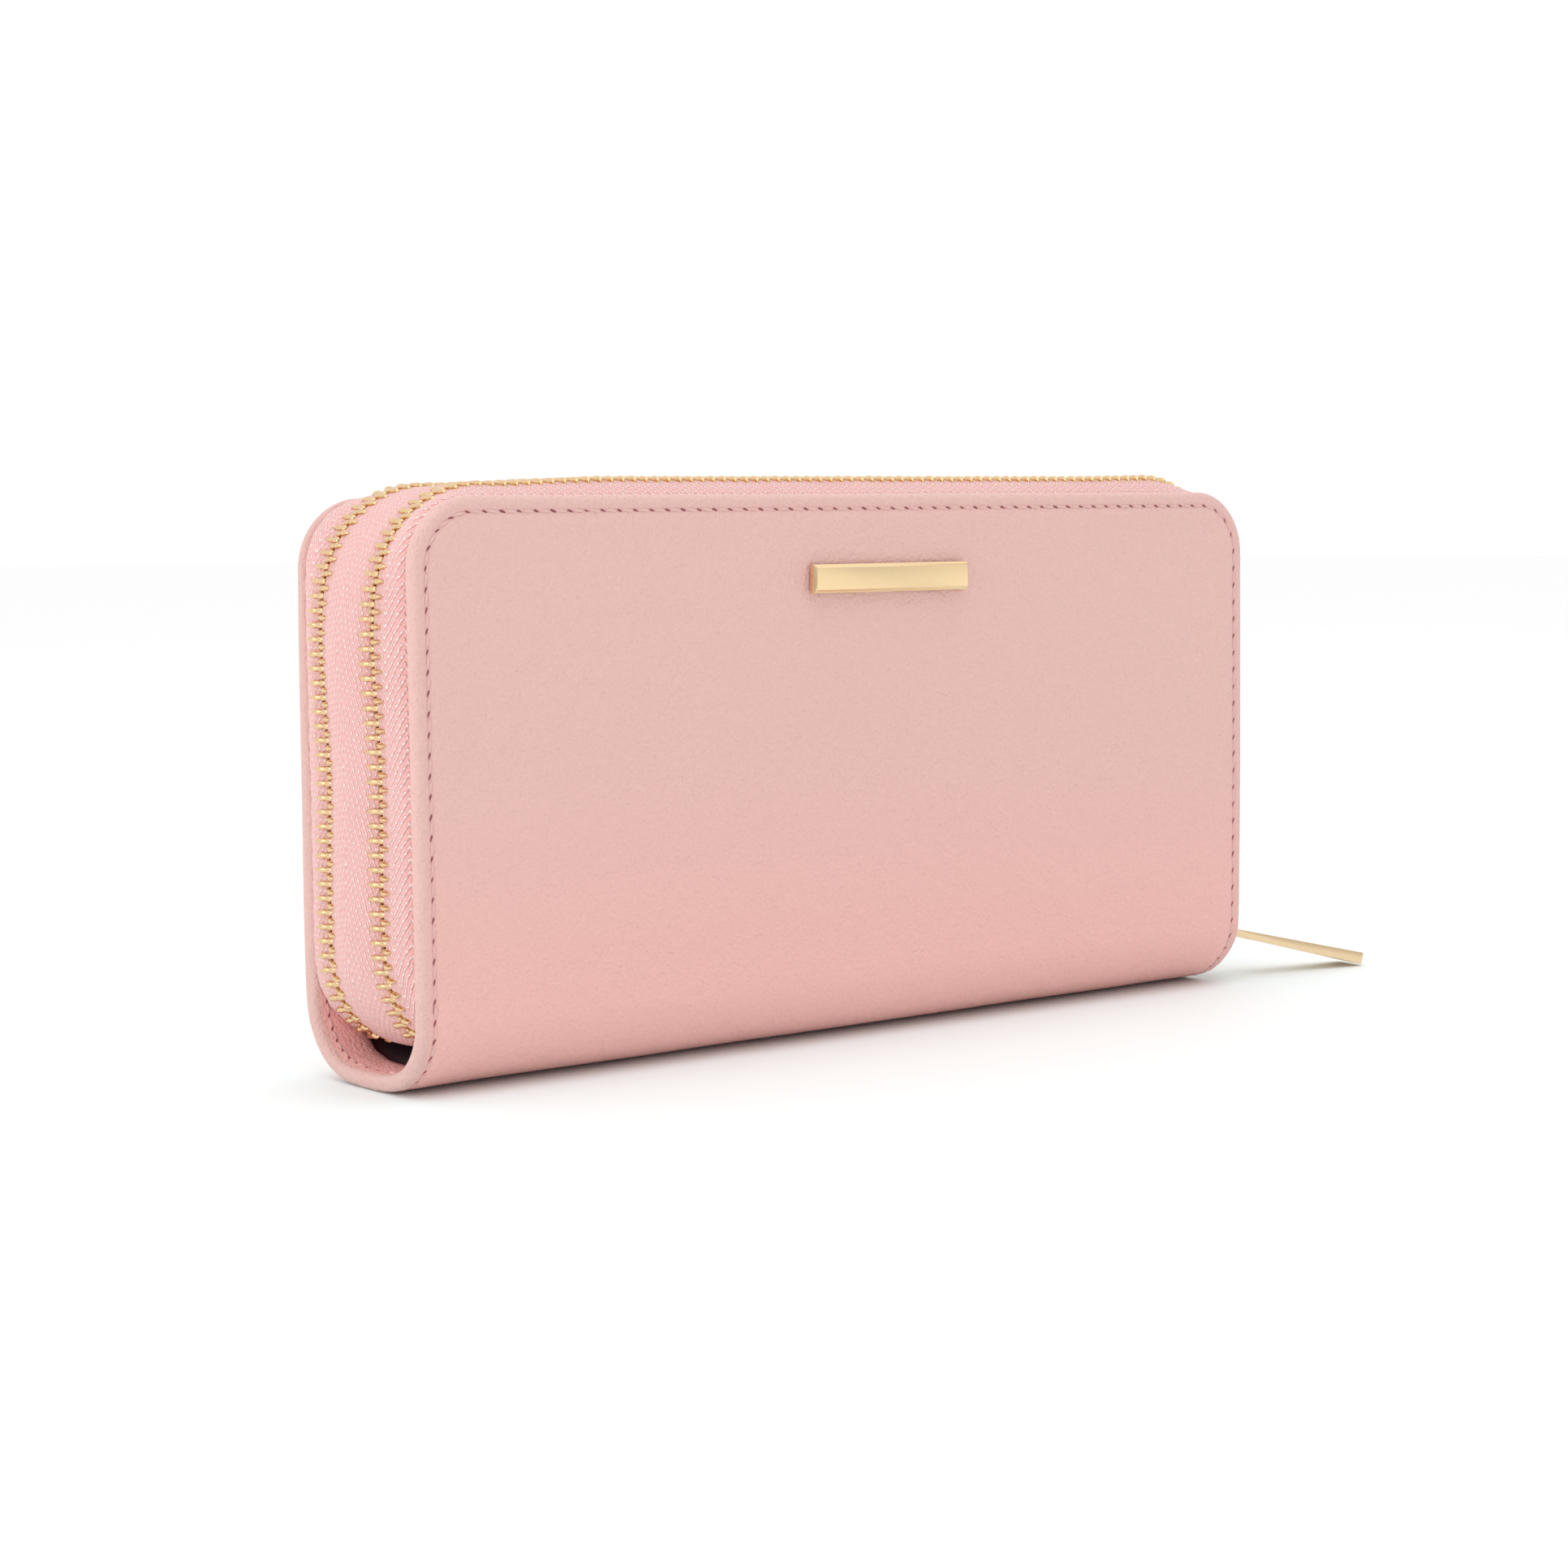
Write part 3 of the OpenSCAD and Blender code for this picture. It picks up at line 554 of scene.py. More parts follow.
def sstep(x, a, b):
    t = np.clip((x - a) / (b - a), 0, 1)
    return t * t * (3 - 2 * t)


PROF = np.array([(1.5, .10), (1.9, .09), (2.3, -.06), (2.7, -.22), (3.1, -.08), (3.6, .06), (4.4, .12), (5.4, .10), (6.8, .05), (8.6, .01), (12, 0), (99, 0)])


def n_outer(side, d, x, v, L):
    roll = -1.5 + np.sqrt(np.maximum(0, 2.25 - np.maximum(0, 1.5 - d) ** 2)) + 0.10 * np.clip(d / 1.5, 0, 1)
    n = np.where(d < 1.5, roll, np.interp(d, PROF[:, 0], PROF[:, 1]))
    bell = np.exp(-((d - ST_D) / 1.25) ** 2)
    n = n - 0.07 * np.cos(2 * math.pi * L / ST_P) * bell
    # small irregular slack between stitches, and a slow wave over the panel
    wob = np.sin(L * 0.71 + 1.7 * np.sin(L * 0.113)) * 0.5 + np.sin(L * 1.93 + 0.6) * 0.25
    n = n + 0.05 * wob * np.exp(-((d - 4.2) / 1.8) ** 2)
    wave = 0.10 * np.sin(x / 21.0 + 1.1) * np.sin(v / 15.0 + 0.3) + 0.07 * np.sin(x / 9.5 + v / 13.0)
    n = n + wave * sstep(d, 3, 14)
    if side > 0:
        # the start of the seam low on the left edge
        n = n - 0.32 * np.exp(-(((x + 94.6) / 0.7) ** 2 + ((v - VH - 3.3) / 0.8) ** 2))
    return np.where(v < SC + 6, n + (np.minimum(n, 0) - n) * (1 - sstep(v, SC + 1, SC + 6)), n)


def leather_skin(name, side):
    VS = np.linspace(0, VT - RC, 181)
    XS = np.linspace(-(HL - RC), HL - RC, 301)
    K = 24
    nv, nx = len(VS), len(XS)
    verts, inset, stitch, turned = [], [], [], []
    faces = []
    count = 0
    inward = 0.0

    def add(P, d, L):
        nonlocal count
        base = count
        verts.append(P.reshape(-1, 3))
        inset.append(np.broadcast_to(d, P.shape[:-1]).ravel())
        stitch.append(np.broadcast_to(L, P.shape[:-1]).ravel() / ST_P)
        turned.append(np.full(P.reshape(-1, 3).shape[0], inward))
        count += P.reshape(-1, 3).shape[0]
        return base

    # index of the grid's border in ring order
    def border(base):
        g = base + np.arange(nv * nx).reshape(nv, nx)
        return np.concatenate([g[:, 0], np.full(K - 1, g[-1, 0]), g[-1, :], np.full(K - 1, g[-1, -1]), g[::-1, -1]])

    def join(A, B):
        for i in range(len(A) - 1):
            q = []
            for w in (A[i], A[i + 1], B[i + 1], B[i]):
                if not q or (q[-1] != w and q[0] != w):
                    q.append(w)
            if len(q) >= 3:
                faces.append(tuple(q))

    gx, gv = np.meshgrid(XS, VS)
    dgrid = np.minimum(HL - np.abs(gx), VT - gv)
    D_OUT = [0, .1, .3, .6, 1.0, 1.5, 1.9, 2.2, 2.45, 2.7, 2.95, 3.2, 3.7, 4.4, 5.4, 6.8, 8.8]
    rings = []
    for d in D_OUT:
        x, v, L = ring_params(d, VS, XS, K)
        b = add(surf(side, x, v, n_outer(side, np.full(x.shape, float(d)), x, v, L)), d, L)
        rings.append(b + np.arange(len(x)))
    # length along the seam for the grid: by the nearest side
    Lg = np.where(HL - np.abs(gx) < VT - gv, gv, gx)
    gb = add(surf(side, gx, gv, n_outer(side, dgrid, gx, gv, Lg)), dgrid, Lg)
    bord = border(gb)
    for a, b in zip(rings, rings[1:] + [bord]):
        join(a, b)
    faces.extend(grid_faces(nv, nx, gb))
    out_v0 = [r[0] for r in rings] + list((gb + np.arange(nx))) + [r[-1] for r in rings[::-1]]

    # the turned edge on the inside, then the back of the leather
    inner = [(.1, None), (.3, None), (.6, None), (1.0, None), (1.5, None), (.25, -3.02), (.5, -3.05), (.8, -3.05), (.97, -3.0), (1.0, -2.8),
             (1.001, -2.2), (1.002, -1.15), (1.05, -1.12)]
    irings = [rings[0]]
    inward = 1.0
    for q, nn in inner:
        x, v, L = ring_params(min(q, 1.5) if nn is None else ST_D, VS, XS, K)
        if nn is None:
            d = np.full(x.shape, q)
            n = np.full(x.shape, -1.5 - math.sqrt(max(0, 2.25 - (1.5 - q) ** 2)))
        else:
            hem = 3.25 + (9.0 - 3.25) * (1 - sstep(v, VH - 3, VH + 5))
            hem = hem + 0.12 * np.sin(v * 0.9) * (hem > 8)
            d = 1.5 + (hem - 1.5) * q if q <= 1 else hem * q
            bx = np.concatenate([np.full(nv, 0), np.linspace(0, 1, K + 1)[1:-1], np.full(nx, 1), np.linspace(0, 1, K + 1)[1:-1], np.full(nv, 0)])
            r = RC - d
            a = np.linspace(0, math.pi / 2, K + 1)[1:-1]
            cx, cv = HL - RC, VT - RC
            m1, m2, m3, m4 = nv, nv + K - 1, nv + K - 1 + nx, nv + 2 * (K - 1) + nx
            x = np.concatenate([-HL + d[:m1], -cx - r[m1:m2] * np.cos(a), XS, cx + r[m3:m4] * np.sin(a), HL - d[m4:]])
            v = np.concatenate([VS, cv + r[m1:m2] * np.sin(a), VT - d[m2:m3], cv + r[m3:m4] * np.cos(a), VS[::-1]])
            n = np.full(x.shape, nn)
            n = n + np.where(nn < -2.5, -0.04 * np.cos(2 * math.pi * L / ST_P) * np.exp(-((d - ST_D) / 0.9) ** 2) + 0.12 * np.exp(-((d - ST_D) / 0.5) ** 2), 0)
        b = add(surf(side, x, v, n), d, L)
        irings.append(b + np.arange(len(x)))
    ib = add(surf(side, gx, gv, np.full(gx.shape, -1.12)), dgrid, Lg)
    ibord = border(ib)
    for a, b in zip(irings, irings[1:] + [ibord]):
        join(a, b)
    faces.extend(grid_faces(nv, nx, ib))
    in_v0 = [r[0] for r in irings] + list((ib + np.arange(nx))) + [r[-1] for r in irings[::-1]]
    V = np.concatenate(verts)
    # rim_shade: how strongly the rim's painted shade applies, weaker on the front panel
    ob = make_mesh(name, V, faces, attrs={"inset": np.concatenate(inset), "stitch": np.concatenate(stitch), "turned": np.concatenate(turned),
               "rim_shade": np.full(sum(len(a) for a in inset), 0.35 if side > 0 else 1.0)}, material=M_LEATHER)
    return ob


def stitch_point(side, L, d, inside=False):
    """The (x, v) point on the seam line at length L."""
    cx, cv = HL - RC, VT - RC
    r = RC - ST_D
    L1 = cv
    L2 = L1 + r * math.pi / 2
    L3 = L2 + 2 * cx
    L4 = L3 + r * math.pi / 2
    if L < L1:
        return -HL + ST_D, L
    if L < L2:
        a = (L - L1) / r
        return -cx - r * math.cos(a), cv + r * math.sin(a)
    if L < L3:
        return -cx + (L - L2), VT - ST_D
    if L < L4:
        a = (L - L3) / r
        return cx + r * math.sin(a), cv + r * math.cos(a)
    return HL - ST_D, cv - (L - L4)


def thread_run(name, side, inside=False, lo=None, hi=None):
    verts, faces, uv = [], [], []
    base = 0
    rr = np.random.default_rng(11 if side > 0 else 12)
    for i in range(ST_N):
        if inside and not (i * ST_P < VH + 1 or (ST_N - i) * ST_P < VH + 1):
            continue
        if inside and (i * ST_P < 1.5 or (ST_N - 1 - i) * ST_P < 1.5):
            continue
        skew = 0.13 + rr.uniform(-0.05, 0.05)
        lift = rr.uniform(-0.02, 0.03)
        m = 9
        ring = 8
        ts = np.linspace(0.17, 0.83, m)
        pts = []
        for t in ts:
            L = (i + t) * ST_P
            x, v = stitch_point(side, L, ST_D)
            arch = max(0.0, math.sin(math.pi * min(1.0, max(0.0, (t - 0.17) / 0.66)))) ** 0.45
            if inside:
                n = -3.0 + 0.32 - (0.36 + lift) * arch
            else:
                n = -0.52 + (0.46 + lift) * arch
            if v < SC + 4 and not inside:
                n -= 0.15 * (1 - float(sstep(v, SC - 2, SC + 4)))
            pts.append(surf(side, x, v, n))
        pts = np.array(pts)
        tan = np.gradient(pts, axis=0)
        tan /= np.linalg.norm(tan, axis=1)[:, None]
        x, v = stitch_point(side, (i + 0.5) * ST_P, ST_D)
        nrm = surf(side, x, v, 1.0) - surf(side, x, v, 0.0)
        bi = np.cross(tan, nrm)
        bi /= np.linalg.norm(bi, axis=1)[:, None]
        nn = np.cross(bi, tan)
        off = bi * (skew * np.linspace(-1, 1, m))[:, None]
        env = np.maximum(0, np.sin(np.pi * np.clip((ts - 0.17) / 0.66, 0, 1))) ** 0.5
        w = 0.27 * (0.5 + 0.5 * env)
        h = 0.20 * (0.6 + 0.4 * env)
        for k in range(m):
            for j in range(ring):
                a = 2 * math.pi * j / ring
                verts.append(pts[k] + off[k] + bi[k] * w[k] * math.cos(a) + nn[k] * h[k] * math.sin(a))
                uv.append((ts[k] * ST_P, j / ring))
        faces.extend(grid_faces(m, ring, base, wrap=True))
        faces.append(tuple(base + j for j in range(ring)))
        faces.append(tuple(base + (m - 1) * ring + j for j in range(ring)))
        base += m * ring
    ob = make_mesh(name, verts, faces, uv=uv, material=M_THREAD)
    return ob


for side, tag in ((1, "front"), (-1, "back")):
    skin = leather_skin(tag + "_leather_skin", side)
    if side > 0:
        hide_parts("front_cover_leather", "spine_leather")
    else:
        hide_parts("back_cover_leather", "spine_leather")
    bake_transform(skin)
    th = thread_run(tag + "_thread", side)
    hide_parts(tag + "_stitching")
    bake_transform(th)
    thi = thread_run(tag + "_thread_inside", side, inside=True)
    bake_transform(thi)


# ------------------------------------------------------------------ the spine's lining, inside the leather
def tunnel_lining():
    xs = np.concatenate([np.linspace(-89.3, 89.3, 60)])
    ws = np.linspace(-(VH - 0.6), VH - 0.6, 57)
    verts = []
    for nn in (-1.3, -2.35):
        for x in xs:
            for w in ws:
                verts.append(surf(-1 if w < 0 else 1, x, abs(w), nn + 0.06 * math.sin(x / 5.0 + w / 3.0)))
    nx_, nw = len(xs), len(ws)
    m = nx_ * nw
    faces = grid_faces(nx_, nw, 0) + grid_faces(nx_, nw, m)
    for r0 in range(nx_ - 1):
        for c in (0, nw - 1):
            a, b = r0 * nw + c, (r0 + 1) * nw + c
            faces.append((a, b, b + m, a + m))
    for c in range(nw - 1):
        for r0 in (0, nx_ - 1):
            a, b = r0 * nw + c, r0 * nw + c + 1
            faces.append((a, b, b + m, a + m))
    ob = make_mesh("spine_lining_cloth", verts, faces, material=M_LINING)
    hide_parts("spine_lining")
    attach(ob, "core")


tunnel_lining()

# ------------------------------------------------------------------ zip tapes
def station_list(s0, s1, step=0.8):
    n = int(math.ceil((s1 - s0) / step)) + 1
    return np.linspace(s0, s1, n)


def sweep_section(name, stations, section, material):
    """section(s) gives points (outward from the path, y, u) round a closed loop; the same number at every station."""
    verts, uv = [], []
    m = None
    for s in stations:
        (px, pz), nn, tt = path(s)
        pts = section(s)
        m = len(pts)
        for a, y, u in pts:
            verts.append((px + nn[0] * a, y, pz + nn[1] * a))
            uv.append((s, u))
    k = len(stations)
    faces = grid_faces(k, m, 0, wrap=True)
    half = m // 2
    for base in (0, (k - 1) * m):
        for j in range(half - 1):
            faces.append((base + j, base + j + 1, base + m - 2 - j, base + m - 1 - j))
    ob = make_mesh(name, verts, faces, uv=uv, material=material)
    return ob


def thick(mid, h):
    """Closed loop of (outward, y, u) points from a middle line and a half thickness."""
    mid = np.asarray(mid, float)
    t = np.gradient(mid[:, :2], axis=0)
    t /= np.maximum(1e-9, np.linalg.norm(t, axis=1))[:, None]
    nrm = np.stack([t[:, 1], -t[:, 0]], -1)
    hh = np.full(len(mid), h)
    hh[0] *= 0.55
    hh[-1] *= 0.55
    a = mid[:, :2] + nrm * hh[:, None]
    b = mid[:, :2] - nrm * hh[:, None]
    out = [(p[0], p[1], u) for p, u in zip(a, mid[:, 2])]
    out += [(p[0], p[1], u) for p, u in zip(b[::-1], mid[::-1, 2])]
    return out


def band_section(s):
    off_f, off_b = smooth_interp(s, N_OFF_F), smooth_interp(s, N_OFF_B)
    ph = smooth_interp(s, VALLEY)
    ys = np.linspace(-7.95, 7.95, 37)
    off = off_f + (off_b - off_f) * (ys + 8.4) / 16.8
    a = off + 5.35 * math.tan(ph) * np.sin(np.pi / 2 * (8.4 - np.abs(ys)) / 8.4)
    a = a + 0.06 * np.sin(s / 3.1) * np.cos(ys / 3.0) * 0.5
    # the divider's edge holds the middle of the band up
    a = a + max(0.0, -0.55 - 0.5 * (off_f + off_b)) * np.exp(-(ys / 3.2) ** 2)
    return thick(np.stack([a, ys, ys], -1), 0.36)


def strip_section(side):
    def section(s):
        off = smooth_interp(s, N_OFF_F if side > 0 else N_OFF_B)
        ph = smooth_interp(s, VALLEY)
        c, sn = math.cos(ph), math.sin(ph)
        y0, a0 = 8.4 + 0.45 * c, off + 0.45 * sn
        e = edge_at(max(s, S_TAIL)) if s >= S_TAIL else edge_at(S_TAIL)
        free = 0.0
        if s < S_TAIL:
            free = min(1.0, (S_TAIL - s) / 6.0)
        zr = path(s)[0][1]
        if s > S_BEND2 and zr < 24:
            free = max(free, min(1.0, (24 - zr) / 6.0))
        y1 = 16.08 - 0.3 * free
        if zr < 12.4:
            y1 = min(y1, 6.8 + math.sqrt(max(1.0, 9.3**2 - (12.4 - zr) ** 2)) - 0.5)
        a1 = (e - 1.25) * (1 - free) + (off - 0.5) * free
        L = math.hypot(y1 - y0, a1 - a0)
        m0 = (c * L, sn * L)
        m1 = (0.75 * L, (-0.75 + 0.55 * free) * L)
        q = np.linspace(0, 1, 22)
        h00, h10, h01, h11 = 2 * q**3 - 3 * q**2 + 1, q**3 - 2 * q**2 + q, -2 * q**3 + 3 * q**2, q**3 - q**2
        y = h00 * y0 + h10 * m0[0] + h01 * y1 + h11 * m1[0]
        a = h00 * a0 + h10 * m0[1] + h01 * a1 + h11 * m1[1]
        # selvage bead beside the leather, slightly uneven
        a = a + 0.16 * np.exp(-((q - 0.80) / 0.07) ** 2) * (1 + 0.5 * math.sin(s * 2 * math.pi / 1.3))
        a = a + 0.05 * np.sin(s / 2.7 + 1) * np.sin(np.pi * q)
        pts = [(a[i], y[i]) for i in range(len(q))]
        flange = 5.5 * (1 - free) + 0.12
        for k in range(1, 5):
            pts.append((a1 - flange * k / 4, y1 - 0.18 * min(1, k)))
        u = 0.0
        mid = []
        for i, (aa, yy) in enumerate(pts):
            if i:
                u += math.hypot(aa - pts[i - 1][0], yy - pts[i - 1][1])
            mid.append((aa, -side * yy, u))
        return thick(mid, 0.34)
    return section


band = sweep_section("zip_band", station_list(-7.5, S_END, 1.0), band_section, M_BAND)
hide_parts("middle_band")
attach(band, "core")

for side, tag in ((1, "front"), (-1, "back")):
    st = sweep_section(tag + "_zip_strip", station_list(-7.5, S_END + 2.8, 1.0), strip_section(side), M_TAPE)
    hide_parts(tag + "_zip_tape", tag + "_tail_tapes")
    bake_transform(st)


# ------------------------------------------------------------------ zip teeth
def tooth_shape():
    """One tooth lofted from its clamped jaws to its rounded head: (outward, from the centre line to the base, along)."""
    #        b      half along  half out  centre out
    secs = [(3.25, 0.12, 0.46), (3.1, 0.22, 0.70), (2.7, 0.33, 0.94), (2.2, 0.45, 1.06), (1.7, 0.55, 1.10), (1.3, 0.56, 1.08), (1.0, 0.46, 0.96),
            (0.75, 0.44, 0.88), (0.4, 0.54, 0.94), (0.0, 0.60, 0.98), (-0.35, 0.60, 0.96), (-0.65, 0.52, 0.86), (-0.84, 0.38, 0.68), (-0.94, 0.20, 0.42)]
    m = 12
    V, F = [], []
    for b, hc, ha in secs:
        for j in range(m):
            t = 2 * math.pi * j / m
            c, s_ = math.cos(t), math.sin(t)
            k = 0.60
            V.append((ha * math.copysign(abs(s_) ** k, s_), b, hc * math.copysign(abs(c) ** k, c)))
    F = grid_faces(len(secs), m, 0, wrap=True)
    F.append(tuple(range(m)))
    F.append(tuple((len(secs) - 1) * m + j for j in range(m)))
    return np.array(V), F


TOOTH_V, TOOTH_F = tooth_shape()


def tooth_row(name, side, inner):
    n = int((S_END - 2.4 - 0.8) / PITCH)
    V, F = [], []
    base = 0
    rr = np.random.default_rng(21 + side + 2 * inner)
    for i in range(-3, n + 1):
        s = 0.8 + (i + (0.5 if inner else 0.0)) * PITCH
        if s > S_END - 2.2:
            break
        s_c = s + rr.uniform(-0.03, 0.03)
        (px, pz), nn, tt = path(s_c)
        off = smooth_interp(s_c, N_OFF_F if side > 0 else N_OFF_B)
        ph = smooth_interp(s_c, VALLEY) + rr.uniform(-0.02, 0.02)
        cph, sph = math.cos(ph), math.sin(ph)
        A, B, C = TOOTH_V[:, 0], TOOTH_V[:, 1], TOOTH_V[:, 2]
        y_rel = B * cph - A * sph
        out = off + B * sph + A * cph
        y = -side * (ZY + (-y_rel if inner else y_rel))
        V.append(np.stack([px + nn[0] * out + tt[0] * C, y, pz + nn[1] * out + tt[1] * C], -1))
        F.extend(tuple(base + k for k in f) for f in TOOTH_F)
        base += len(TOOTH_V)
    ob = make_mesh(name, np.concatenate(V), F, material=M_TEETH)
    return ob


for side, tag in ((1, "front"), (-1, "back")):
    row = tooth_row(tag + "_teeth_outer_row", side, False)
    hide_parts(tag + "_outer_teeth", tag + "_tail_teeth")
    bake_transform(row)
    row = tooth_row(tag + "_teeth_inner_row", side, True)
    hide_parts(tag + "_inner_teeth")
    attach(row, "core")

copy_node("zip_stops", "zip_stop_clamps", 0.25, 2, M_TEETH, "core")

# ------------------------------------------------------------------ sliders, pullers, badge
for tag in ("front", "back"):
    copy_node(tag + "_slider_body", tag + "_slider_plates", 0.3, 3, M_SLIDER, tag + "_slider")
    copy_node(tag + "_slider_bail", tag + "_slider_arch", 0.3, 3, M_SLIDER, tag + "_slider")
    copy_node(tag + "_puller", tag + "_puller_bar", 0.28, 3, M_PULLER, tag + "_puller")
copy_node("badge_bar", "badge_plate", 0.22, 3, M_BADGE, "front_cover", angle=20)
copy_node("coin_slider_body", "coin_slider_plates", 0.12, 2, M_SLIDER, "coin_slider")
copy_node("coin_slider_bail", "coin_slider_arch", 0.12, 2, M_SLIDER, "coin_slider")
copy_node("coin_puller", "coin_puller_bar", 0.10, 2, M_PULLER, "coin_puller")


# ------------------------------------------------------------------ gussets
def gusset_sheet(name, side, end):
    nz, nq = 45, 61
    A = np.array([92.3, 15.2])
    B = np.array([68.0, 8.9])
    C = np.array([92.3, 1.55])
    # a V with a rounded fold
    pts = []
    r = 0.9
    u1 = (A - B) / np.linalg.norm(A - B)
    u2 = (C - B) / np.linalg.norm(C - B)
    half = math.acos(float(np.clip(u1 @ u2, -1, 1))) / 2
    back = r / math.tan(half)
    bis = (u1 + u2) / np.linalg.norm(u1 + u2)
    cen = B + bis * (r / math.sin(half))
    T1, T2 = B + u1 * back, B + u2 * back
    l1 = np.linalg.norm(A - T1)
    l2 = np.linalg.norm(C - T2)
    a1 = math.atan2(*(T1 - cen)[::-1])
    a2 = math.atan2(*(T2 - cen)[::-1])
    da = (a2 - a1 + math.pi) % (2 * math.pi) - math.pi
    # the way round that passes nearest the fold's tip
    mid = cen + r * np.array([math.cos(a1 + da / 2), math.sin(a1 + da / 2)])
    if np.linalg.norm(mid - B) > r * 1.5 and np.linalg.norm(mid - B) > np.linalg.norm(cen - B):
        da = da - math.copysign(2 * math.pi, da)
    arc = abs(da) * r
    total = l1 + arc + l2
    qs = np.linspace(0, total, nq)
    for q in qs:
        if q < l1:
            pts.append(A + (T1 - A) * q / l1)
        elif q < l1 + arc:
            t = a1 + da * (q - l1) / arc
            pts.append(cen + r * np.array([math.cos(t), math.sin(t)]))
        else:
            pts.append(T2 + (C - T2) * (q - l1 - arc) / l2)
    pts = np.array(pts)
    tan = np.gradient(pts, axis=0)
    tan /= np.linalg.norm(tan, axis=1)[:, None]
    nrm = np.stack([tan[:, 1], -tan[:, 0]], -1)
    verts = []
    zs = np.linspace(14, 80, nz)
    for layer in (0.22, -0.22):
        for z in zs:
            env = np.sin(np.pi * qs / total)
            w = 0.35 * np.sin(z / 7.5 + qs / 6.0) * env + 0.2 * np.sin(z / 3.7 + 1.3) * env
            P = pts + nrm * (w + layer)[:, None]
            for p in P:
                verts.append((end * p[0], -side * p[1], z))
    faces = grid_faces(nz, nq, 0) + grid_faces(nz, nq, nz * nq)
    m = nz * nq
    for r0 in range(nz - 1):
        for c in (0, nq - 1):
            a, b = r0 * nq + c, (r0 + 1) * nq + c
            faces.append((a, b, b + m, a + m))
    for c in range(nq - 1):
        for r0 in (0, nz - 1):
            a, b = r0 * nq + c, r0 * nq + c + 1
            faces.append((a, b, b + m, a + m))
    ob = make_mesh(name, verts, faces, material=M_GUSSET)
    return ob, total


for side, tag in ((1, "front"), (-1, "back")):
    for end, where in ((-1, "left"), (1, "right")):
        g, flat_w = gusset_sheet(f"{tag}_{where}_gusset_cloth", side, end)
        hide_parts(f"{tag}_{where}_gusset")
        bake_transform(g)

# ------------------------------------------------------------------ the CAD nodes that stay
def finish_node(node, mat, bevel=0.0, segs=2):
    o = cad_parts[node]
    o.data.materials.clear()
    o.data.materials.append(mat)
    if bevel:
        m = o.modifiers.new("edges", "BEVEL")
        m.width = bevel * MM
        m.segments = segs
        m.limit_method = "ANGLE"
        m.angle_limit = math.radians(40)


for tag in ("front", "back"):
    finish_node(tag + "_cover_board", M_BOARD)
    finish_node(tag + "_cover_lining", M_INNER)
finish_node("inner_floor", M_LINING)
finish_node("centre_divider", M_INNER, 0.25)
finish_node("front_card_pockets", M_INNER, 0.08)
finish_node("divider_card_pockets", M_INNER, 0.08)
finish_node("note_pocket", M_INNER, 0.08)
finish_node("coin_pocket", M_INNER, 0.12)
finish_node("coin_zip_tape", M_GUSSET)
finish_node("coin_zip_teeth", M_TEETH, 0.08)
finish_node("badge_prongs", M_BADGE)
finish_node("badge_clips", M_STEEL)

# ------------------------------------------------------------------ stage, light and camera
def floor_mat():
    m, nt, b = new_mat("floor_paper")
    tc = N(nt, "ShaderNodeTexCoord")
    n = noise(nt, tc.outputs["Object"], 8, 2, 0.5)
    # painted counter to reflected light: under and around the object the paper is made cooler, cancelling the pink
    # light the leather throws onto it
    ab = N(nt, "ShaderNodeVectorMath", operation="ABSOLUTE")
    nt.links.new(tc.outputs["Object"], ab.inputs[0])
    su = N(nt, "ShaderNodeVectorMath", operation="SUBTRACT")
    nt.links.new(ab.outputs[0], su.inputs[0])
    su.inputs[1].default_value = (0.0975, 0.0192, 1.0)
    mx = N(nt, "ShaderNodeVectorMath", operation="MAXIMUM")
    nt.links.new(su.outputs[0], mx.inputs[0])
    mx.inputs[1].default_value = (0.0, 0.0, 0.0)
    ln = N(nt, "ShaderNodeVectorMath", operation="LENGTH")
    nt.links.new(mx.outputs[0], ln.inputs[0])
    near = math_node(nt, "SUBTRACT", 1.0, math_node(nt, "MULTIPLY", ln.outputs["Value"], 1 / 0.09), clamp=True)
    near = math_node(nt, "POWER", near, 1.4)
    paper = mix_col(nt, n, (0.94, 0.94, 0.94), (0.96, 0.96, 0.96))
    nt.links.new(mix_col(nt, near, paper, (0.885, 0.968, 0.968)), b.inputs["Base Color"])
    b.inputs["Roughness"].default_value = 0.7
    b.inputs["Specular IOR Level"].default_value = 0.15
    return m


fm = bpy.data.meshes.new("floor")
fm.from_pydata([(-6, -4, -0.00003), (6, -4, -0.00003), (6, 9, -0.00003), (-6, 9, -0.00003)], [], [(0, 1, 2, 3)])
floor = bpy.data.objects.new("floor", fm)
scene.collection.objects.link(floor)
fm.materials.append(floor_mat())

world = bpy.data.worlds.new("studio")
scene.world = world
world.use_nodes = True
bg = world.node_tree.nodes.get("Background") or world.node_tree.nodes.new("ShaderNodeBackground")
wt = world.node_tree
wtc = N(wt, "ShaderNodeTexCoord")
wsep = N(wt, "ShaderNodeSeparateXYZ")
wt.links.new(wtc.outputs["Generated"], wsep.inputs[0])
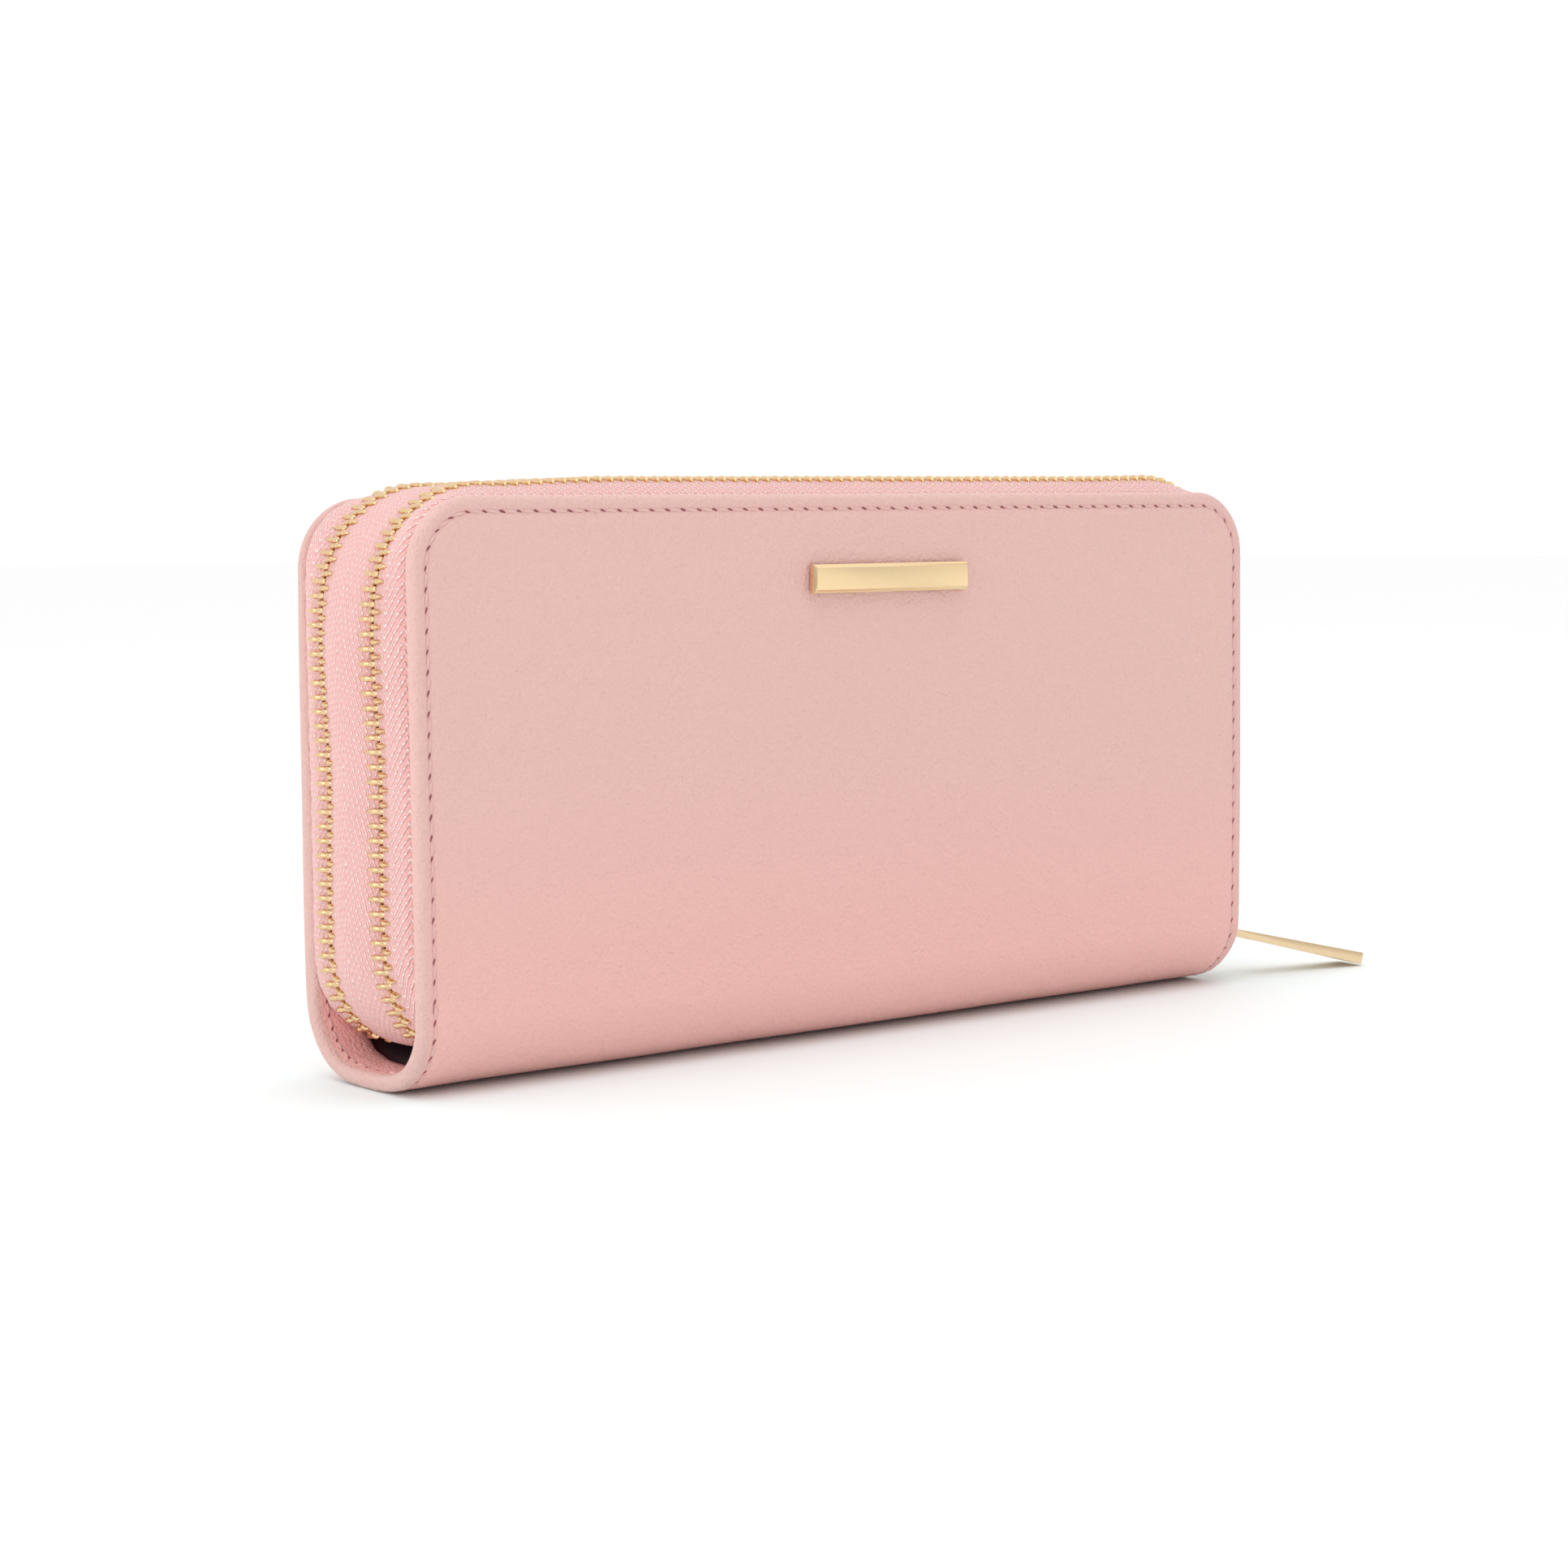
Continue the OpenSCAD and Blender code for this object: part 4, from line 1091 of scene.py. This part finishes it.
# the side the camera stands on is dimmer than the white sweep behind and above
face = math_node(wt, "MULTIPLY_ADD", wsep.outputs[1], -0.92, math_node(wt, "MULTIPLY_ADD", wsep.outputs[0], -0.30, math_node(wt, "MULTIPLY", wsep.outputs[2], 0.10)))
sky = ramp(wt, face, [(0.0, (1.0, 1.0, 1.0)), (0.30, (1.0, 1.0, 1.0)), (0.62, (0.73, 0.73, 0.73)), (0.88, (0.55, 0.55, 0.55)), (1.0, (0.49, 0.49, 0.49))])
wt.links.new(sky, bg.inputs["Color"])
bg.inputs["Strength"].default_value = 1.12


def area(name, loc, target, size, power, color=(1, 1, 1)):
    l = bpy.data.lights.new(name, "AREA")
    l.shape = "RECTANGLE"
    l.size, l.size_y = size
    l.energy = power
    l.color = color
    o = bpy.data.objects.new(name, l)
    scene.collection.objects.link(o)
    o.location = loc
    d = Vector(target) - Vector(loc)
    o.rotation_euler = d.to_track_quat("-Z", "Y").to_euler()
    return o


area("key_top", (-0.15, -0.35, 1.25), (0, 0, 0.04), (1.2, 1.2), 3.6)
area("fill_left", (-1.1, -0.15, 0.35), (0, 0, 0.03), (0.6, 0.6), 1.9)

cam_d = bpy.data.cameras.new("camera")
cam = bpy.data.objects.new("camera", cam_d)
scene.collection.objects.link(cam)
scene.camera = cam
cam_d.lens = 70.36
cam_d.sensor_width = 36
cam_d.clip_start = 0.01
cam_d.clip_end = 50
cam_d.dof.use_dof = False
yaw, pitch, roll = math.radians(38.39), math.radians(4.78), math.radians(-0.73)
fwd = Vector((math.sin(yaw) * math.cos(pitch), math.cos(yaw) * math.cos(pitch), -math.sin(pitch)))
right = fwd.cross(Vector((0, 0, 1))).normalized()
up = right.cross(fwd)
r2 = right * math.cos(roll) + up * math.sin(roll)
u2 = -right * math.sin(roll) + up * math.cos(roll)
M = Matrix(((r2.x, u2.x, -fwd.x, -0.3594), (r2.y, u2.y, -fwd.y, -0.4461), (r2.z, u2.z, -fwd.z, 0.0938), (0, 0, 0, 1)))
cam.matrix_world = M

scene.view_settings.view_transform = "Standard"
scene.view_settings.look = "None"
scene.view_settings.exposure = 0.0
